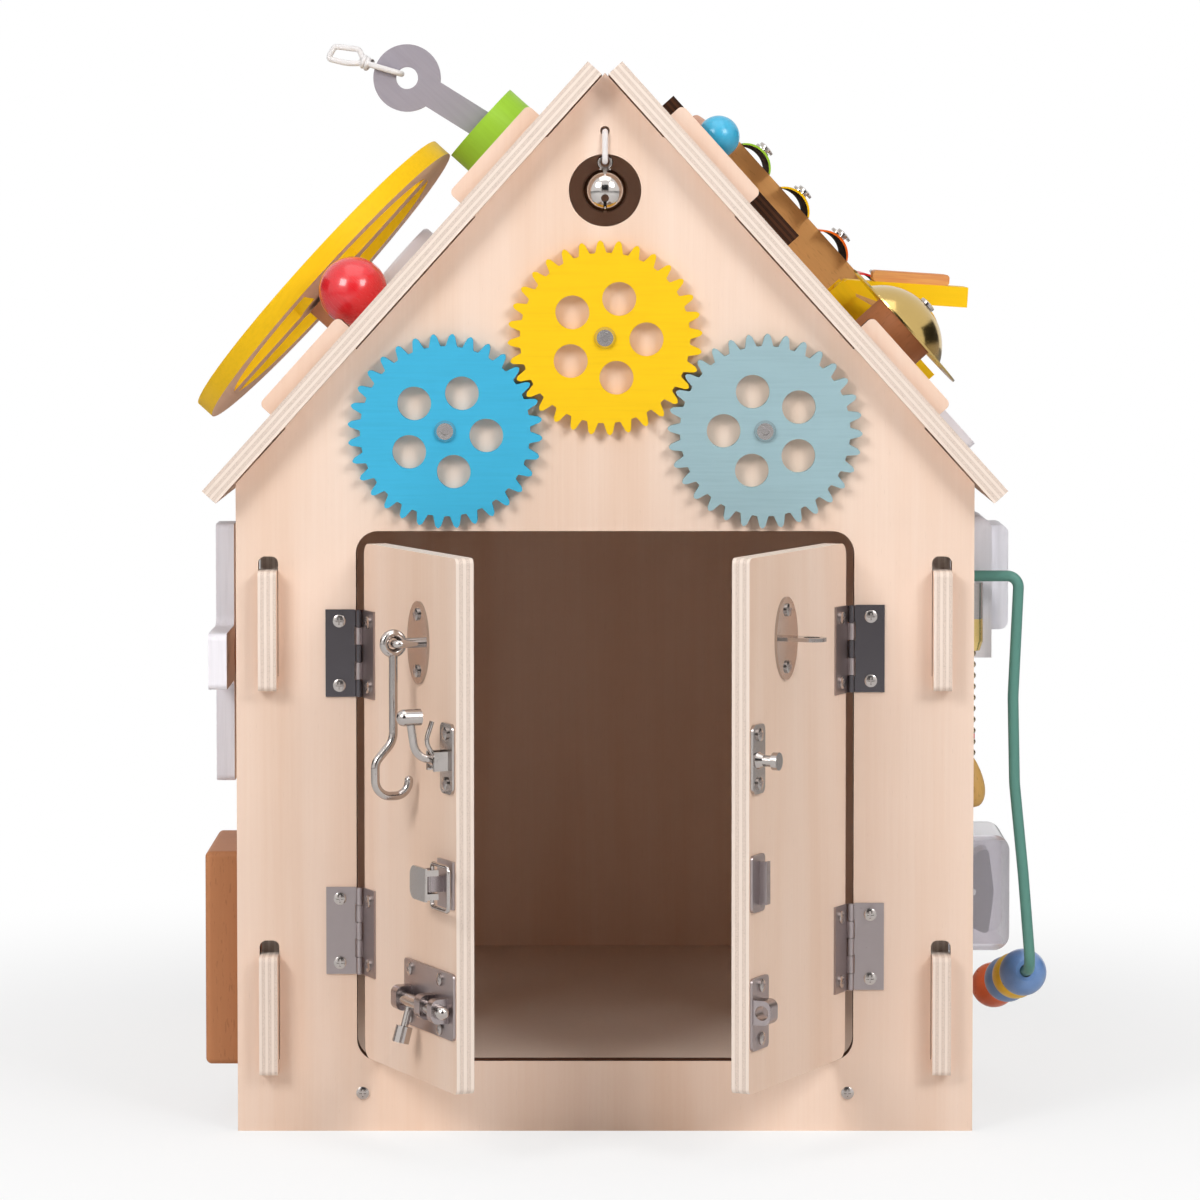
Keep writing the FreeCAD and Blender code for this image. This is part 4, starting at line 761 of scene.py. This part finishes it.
class HOUSE_OT_locks(bpy.types.Operator):
    """Finish the hinges and locks in plated metal"""
    bl_idname = "activity_house.locks"
    bl_label = "Hinges and locks"

    def execute(self, context):
        # the upper frame leaves are polished and get the near-black colour as a painted dark reflection; the
        # lower ones are brushed
        polished = (lambda made: made.z > LEAF_SPLIT, PAINTED_DARK_REFLECTION)
        dress("frame_hinges", plated("Frame hinge steel", STEEL, 0.16, HOUSE,
                                     lambda made: made.z < LEAF_SPLIT, polished))
        for name, place in (("left_door_hinges", LEFT_DOOR), ("right_door_hinges", RIGHT_DOOR)):
            dress(name, plated(f"{name} steel", STEEL, 0.3, place, lambda made: made.z > 0))
        bright = ("hook_staple", "cabin_hook", "latch_base", "latch_arm", "toggle_lever", "toggle_bail",
                  "bolt_rod")
        for name in bright:
            dress(name, plated(f"{name} nickel", NICKEL, 0.09, LEFT_DOOR))
        for name in ("toggle_base", "bolt_plate"):
            dress(name, plated(f"{name} steel", STEEL, 0.2, LEFT_DOOR, lambda made: made.y > -0.0001))
        for name in ("eye_plate", "latch_stud"):
            dress(name, plated(f"{name} nickel", NICKEL, 0.1, RIGHT_DOOR))
        for name in ("toggle_keeper", "bolt_keeper"):
            dress(name, plated(f"{name} steel", STEEL, 0.24, RIGHT_DOOR, lambda made: made.y > -0.0001))
        return {"FINISHED"}


class HOUSE_OT_screws(bpy.types.Operator):
    """Set a cross-recessed pan head on every screw"""
    bl_idname = "activity_house.screws"
    bl_label = "Screws"

    def execute(self, context):
        rise = context.scene.house_sizes.head_rise
        tree = screw_tree()
        material = plated("Screw plating", NICKEL, 0.14)
        rows = (
            ("house_screw_heads", "house", house_heads()),
            ("left_door_screw_heads", "left_door_body", door_heads(1)),
            ("right_door_screw_heads", "right_door_body", door_heads(-1)),
        )
        for name, body, spots in rows:
            source = tree.on(points_piece(name + "_points", spots), Material=material, Rise=rise)
            heads = baked(source, name)
            if not heads.data.polygons:
                raise RuntimeError(f"{name} came out empty")
            smooth(heads.data, 40)
            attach(heads, body)
            if body == "house":
                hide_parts("house_screws")
        return {"FINISHED"}


class HOUSE_OT_gears(bpy.types.Operator):
    """Finish the three gears and their rivets"""
    bl_idname = "activity_house.gears"
    bl_label = "Gears"

    def execute(self, context):
        colours = context.scene.house_colours
        for name, colour in (("gear_blue", colours.blue), ("gear_yellow", colours.yellow),
                             ("gear_grey", colours.grey_blue)):
            dress(name, paint(f"{name} paint", colour, HOUSE, "X", 0.5))
        dress("gear_rivets", plated("Rivet chrome", (0.7, 0.68, 0.68), 0.2))
        return {"FINISHED"}


class HOUSE_OT_bell(bpy.types.Operator):
    """Finish the jingle bell and its cord"""
    bl_idname = "activity_house.bell"
    bl_label = "Bell"

    def execute(self, context):
        dress("jingle_bell", plated("Bell plating", (0.62, 0.58, 0.55), 0.06))
        dress("bell_cord", cord_finish("Bell cord fibres"))
        return {"FINISHED"}


def cord_finish(name):
    """Waxed cotton cord: fine slanting strands."""
    made = Finish(name)
    lean = (made.x + made.y * 0.7 + made.z) * 1150
    strands = abs(lean.fract() - 0.5)
    fuzz = made.noise((2400, 2400, 2400), 2)
    shade = made.mix(strands.rise(0.3, 0.5) * 0.3 + fuzz * 0.15, (0.88, 0.85, 0.84), (0.5, 0.46, 0.44))
    return made.finish(shade, 0.82, height=strands, depth=0.0002)


class HOUSE_OT_left_wall(bpy.types.Operator):
    """Finish the spinner, the beech box and the block on the left wall"""
    bl_idname = "activity_house.left_wall"
    bl_label = "Left wall toys"

    def execute(self, context):
        colours = context.scene.house_colours
        dress("fan_blades", paint("Fan paint", colours.white, HOUSE, "Z", 0.5,
                                  lambda made: made.nx > 0.7, colours=colours))
        dress("fan_spacer", solid_wood("Dowel beech", colours.beech, HOUSE, "X"))
        dress("beech_blocks", solid_wood("Block beech", colours.beech, HOUSE, "Z"))
        return {"FINISHED"}


CHARRED = (0.012, 0.006, 0.004)
REST_LOW = 0.112
REST_BACK = -0.128


def in_roof_rest(made):
    """The mallet's rest, in the right slope's frame."""
    return (made.x < REST_LOW) * (made.y < REST_BACK) * (made.z > 0)


class HOUSE_OT_boards(bpy.types.Operator):
    """Finish the white discs, the mallet's rest and the roof board"""
    bl_idname = "activity_house.boards"
    bl_label = "White boards"

    def execute(self, context):
        colours = context.scene.house_colours
        made = Finish("White board paint", RIGHT_ROOF)
        fleck = made.noise((320, 320, 320), 3)
        white = made.mix(fleck * 0.08, colours.white, [c * 0.82 for c in colours.white])
        edge, _ = layers(made, "Z", ROOF_TOP, colours.scorched, CHARRED, REST_THICK)
        wood, _ = veneer(made, colours.birch_light, colours.birch_dark, "X")
        rest = made.mix(abs(made.nz) > 0.7, edge, wood)
        shade = made.mix(in_roof_rest(made), white, rest)
        dress("white_boards", made.finish(shade, 0.46 + fleck * 0.1, height=fleck, depth=0.00003))
        return {"FINISHED"}


def teardrop(name, top, bottom, radius, material):
    """A turned wooden drop, widest near its foot."""
    made = bmesh.new()
    rings, around = 22, 32
    rows = []
    for ring in range(1, rings):
        share = ring / rings
        height = bottom + (top - bottom) * share
        swell = math.sin(math.pi * share ** 0.62) ** 0.72
        row = []
        for step in range(around):
            angle = 2 * math.pi * step / around
            across = Vector((math.cos(angle), math.sin(angle), 0)) * radius * swell
            row.append(made.verts.new(Vector((CHAIN.x, CHAIN.y, height)) + across))
        rows.append(row)
    for low, high in zip(rows, rows[1:]):
        for step in range(around):
            after = (step + 1) % around
            made.faces.new((low[step], low[after], high[after], high[step]))
    foot = made.verts.new((CHAIN.x, CHAIN.y, bottom))
    tip = made.verts.new((CHAIN.x, CHAIN.y, top))
    for step in range(around):
        after = (step + 1) % around
        made.faces.new((foot, rows[0][after], rows[0][step]))
        made.faces.new((tip, rows[-1][step], rows[-1][after]))
    mesh = bpy.data.meshes.new(name)
    made.to_mesh(mesh)
    made.free()
    smooth(mesh, 60)
    return new_piece(name, mesh, material)


class HOUSE_OT_right_wall(bpy.types.Operator):
    """Finish the switches and make the pull chain"""
    bl_idname = "activity_house.right_wall"
    bl_label = "Right wall toys"

    def execute(self, context):
        colours = context.scene.house_colours
        dress("switch_block", paint("Plinth paint", colours.white, HOUSE, "Z", 0.4))
        dress("red_button", moulded("Button plastic", (0.75, 0.02, 0.03), 0.18))
        dress("chain_socket", plated("Socket plating", NICKEL, 0.14, HOUSE, None,
                                     (lambda made: made.z < SOCKET_MOUTH, (0.8, 0.58, 0.22))))
        dress("switch_housing", moulded("Housing plastic", (0.93, 0.9, 0.95), 0.08, Transmission_Weight=0.8))
        dress("switch_rocker", moulded("Rocker plastic", (0.19, 0.17, 0.21), 0.3))
        tree = ball_chain_tree()
        up = Vector((0, 0, 1))
        spots = [(CHAIN + up * (CHAIN_LOW + index * CHAIN_PITCH), up, 1.0) for index in range(CHAIN_BALLS)]
        bronze = plated("Chain bronze", (0.42, 0.32, 0.2), 0.16)
        source = tree.on(points_piece("chain_points", spots), Material=bronze)
        chain = baked(source, "ball_chain")
        smooth(chain.data, 50)
        wood = solid_wood("Drop wood", (0.80, 0.47, 0.15), HOUSE, "Z", 0.3)
        drop = teardrop("pull_drop", 0.1614, 0.1385, 0.0059, wood)
        for piece, name in ((chain, "bronze"), (drop, "bamboo")):
            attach(piece, "chain_body")
            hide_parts("pull_chain")
        return {"FINISHED"}


class HOUSE_OT_bead_wire(bpy.types.Operator):
    """Finish the coated wire and its four beads"""
    bl_idname = "activity_house.bead_wire"
    bl_label = "Bead wire"

    def execute(self, context):
        colours = context.scene.house_colours
        dress("bead_wire", moulded("Wire coating", colours.coating, 0.28))
        for name, colour in (("bead_blue", colours.sky), ("bead_yellow", colours.yellow),
                             ("bead_sky", colours.sky), ("bead_orange", colours.orange)):
            dress(name, paint(f"{name} paint", colour, HOUSE, "Y", 0.24, wear=0.4))
        return {"FINISHED"}


class HOUSE_OT_left_roof(bpy.types.Operator):
    """Finish the wheel, ball, lock and key, and lay the key's cord"""
    bl_idname = "activity_house.left_roof"
    bl_label = "Left roof toys"

    def execute(self, context):
        colours = context.scene.house_colours
        dress("steering_wheel", paint("Wheel paint", colours.yellow, LEFT_ROOF, "X", 0.42,
                                      lambda made: made.nz < -0.5, colours=colours))
        dress("wheel_hub", solid_wood("Hub beech", colours.beech, LEFT_ROOF, "Z", 0.46,
                                      (lambda made: made.z > HUB_CAP, NICKEL, 1.0, 0.15)))
        dress("red_ball", paint("Ball paint", colours.red, LEFT_ROOF, "Z", 0.22, wear=0.5))
        dress("lock_barrel", paint("Barrel paint", colours.green, LEFT_ROOF, "Z", 0.36))
        dress("key", paint("Key paint", colours.key_grey, LEFT_ROOF, "Z", 0.5))
        lay_key_cord(context.scene.house_sizes.cord_radius)
        return {"FINISHED"}


def lay_key_cord(radius):
    """One cord through the key's bow, tied, with its stiff bight standing beyond the knot."""
    bow = 54.3
    knot = (-4.1, -2.5, bow + 19.6)
    route = [
        knot, (-3.3, -7, bow + 15.7), (-1.6, -7, bow + 9.6), (0.2, -7, bow + 3.1), (0.2, 2, bow + 3.1),
        (-1.6, 2, bow + 9.6), (-3.3, 2, bow + 15.7), knot, (-3.9, -2.5, bow + 20.3),
        (-1.3, -2.5, bow + 24.2), (-0.6, -2.5, bow + 25.6), (-2.6, -2.5, bow + 29.6),
        (-5.1, -2.5, bow + 35.2), (-6.6, -2.5, bow + 35.3), (-11.5, -2.5, bow + 35),
        (-10.6, -2.5, bow + 32), (-8.3, -2.5, bow + 25.2), (-4.4, -2.5, bow + 20),
    ]
    points = [KEY @ (Vector(point) * MM) for point in route]
    line = bpy.data.curves.new("key_cord_loop", "CURVE")
    line.dimensions = "3D"
    line.bevel_depth = radius
    line.bevel_resolution = 5
    line.resolution_u = 8
    line.use_fill_caps = True
    spline = line.splines.new("NURBS")
    spline.points.add(len(points) - 1)
    for target, point in zip(spline.points, points):
        target.co = (*point, 1)
    spline.order_u = 3
    spline.use_endpoint_u = True
    loop = bpy.data.objects.new("key_cord_loop", line)
    bpy.context.scene.collection.objects.link(loop)
    line.materials.append(cord_finish("Key cord fibres"))

    knot = overhand_knot(KEY @ (Vector(knot) * MM), KEY, radius)
    length = sum((after - before).length for before, after in zip(points, points[1:])) * 0.97
    for piece in (loop, knot):
        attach(piece, "key_body")
    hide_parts("key_cord")


def overhand_knot(centre, place, radius):
    """Three close turns of cord round the two strands that they tie."""
    line = bpy.data.curves.new("knot_route", "CURVE")
    line.dimensions = "3D"
    line.bevel_depth = radius * 0.92
    line.bevel_resolution = 4
    turns, steps = 2.4, 40
    spline = line.splines.new("NURBS")
    spline.points.add(steps - 1)
    axis = place.to_3x3()
    for step in range(steps):
        share = step / (steps - 1)
        angle = 2 * math.pi * turns * share
        reach = radius * (1.5 + 0.25 * math.sin(3 * angle))
        local = Vector((
            reach * math.cos(angle), reach * math.sin(angle), (share - 0.5) * radius * 3.4))
        spline.points[step].co = (*(centre + axis @ local), 1)
    spline.order_u = 3
    spline.use_endpoint_u = True
    made = bpy.data.objects.new("knot_route", line)
    bpy.context.scene.collection.objects.link(made)
    knot = baked(made, "key_cord_knot")
    knot.data.materials.clear()
    knot.data.materials.append(cord_finish("Knot fibres"))
    smooth(knot.data, 60)
    return knot


class HOUSE_OT_right_roof(bpy.types.Operator):
    """Finish the bars, mallet, dome and clapper"""
    bl_idname = "activity_house.right_roof"
    bl_label = "Right roof toys"

    def execute(self, context):
        colours = context.scene.house_colours
        dress("xylophone_rails", solid_wood("Rail hardwood", colours.honey, RIGHT_ROOF, "X", 0.4))
        made = Finish("Bar enamel", RIGHT_ROOF)
        stops = [
            (0.0, colours.green), (0.25, colours.yellow), (0.5, (0.90, 0.16, 0.012)),
            (0.75, (0.78, 0.03, 0.03)),
        ]
        share = (made.x - BAR_DOWN + BAR_PITCH / 2) / (4 * BAR_PITCH)
        tone = made.add("ShaderNodeValToRGB", {"stops": stops}, {0: share})
        haze = made.noise((160, 160, 160), 3)
        # the bars' undersides get a near-black colour: painted shade inside the arches, not the enamel's own
        # colour
        under = made.mix(made.nz < -0.3, tone, (0.055, 0.05, 0.055))
        dull = (made.nz < -0.3) * 0.4
        dress("xylophone_bars", made.finish(under, 0.3 + haze * 0.1 + dull))
        dress("mallet", solid_wood(
            "Mallet beech", colours.beech, RIGHT_ROOF, "Y", 0.4,
            (lambda made: made.near(MALLET_BALL, MALLET_RADIUS), colours.blue, 0.0, 0.25)))
        dress("cymbal_spacer", solid_wood("Spacer beech", colours.beech, RIGHT_ROOF, "Z"))
        dress("cymbal", plated("Dome brass", (0.60, 0.42, 0.15), 0.1, RIGHT_ROOF))
        dress("clapper_lower", paint("Lower board paint", colours.yellow, RIGHT_ROOF, "X", 0.45))
        made = Finish("Upper board paint", CLAPPER)
        fibres = made.noise(grain_scale("X", 700, 34), 3, 0.62)
        board = made.mix(fibres * 0.16, colours.yellow, [c * 0.6 for c in colours.yellow])
        grip = made.mix(fibres.rise(0.3, 0.7), colours.honey, colours.beech)
        raised = made.z > CLAPPER_THICK
        dress("clapper_upper", made.finish(
            made.mix(raised, board, grip), 0.42 + fibres * 0.1, height=fibres, depth=0.00005))
        return {"FINISHED"}


class HOUSE_PT_panel(bpy.types.Panel):
    """The operators of the activity house"""
    bl_label = "Activity house"
    bl_idname = "HOUSE_PT_panel"
    bl_space_type = "VIEW_3D"
    bl_region_type = "UI"
    bl_category = "Activity house"

    def draw(self, context):
        for step in STEPS:
            self.layout.operator(step.bl_idname)


STEPS = (
    HOUSE_OT_stage, HOUSE_OT_shell, HOUSE_OT_doors, HOUSE_OT_locks, HOUSE_OT_screws, HOUSE_OT_gears,
    HOUSE_OT_bell, HOUSE_OT_left_wall, HOUSE_OT_right_wall, HOUSE_OT_bead_wire, HOUSE_OT_left_roof,
    HOUSE_OT_right_roof, HOUSE_OT_boards,
)
CLASSES = (HouseColours, HouseSizes, *STEPS, HOUSE_PT_panel)


def register():
    for kind in CLASSES:
        bpy.utils.register_class(kind)
    bpy.types.Scene.house_colours = PointerProperty(type=HouseColours)
    bpy.types.Scene.house_sizes = PointerProperty(type=HouseSizes)


def unregister():
    del bpy.types.Scene.house_colours
    del bpy.types.Scene.house_sizes
    for kind in reversed(CLASSES):
        bpy.utils.unregister_class(kind)


def main():
    register()
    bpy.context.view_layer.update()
    for step in STEPS:
        group, name = step.bl_idname.split(".")
        getattr(getattr(bpy.ops, group), name)()


if __name__ == "__main__":
    main()
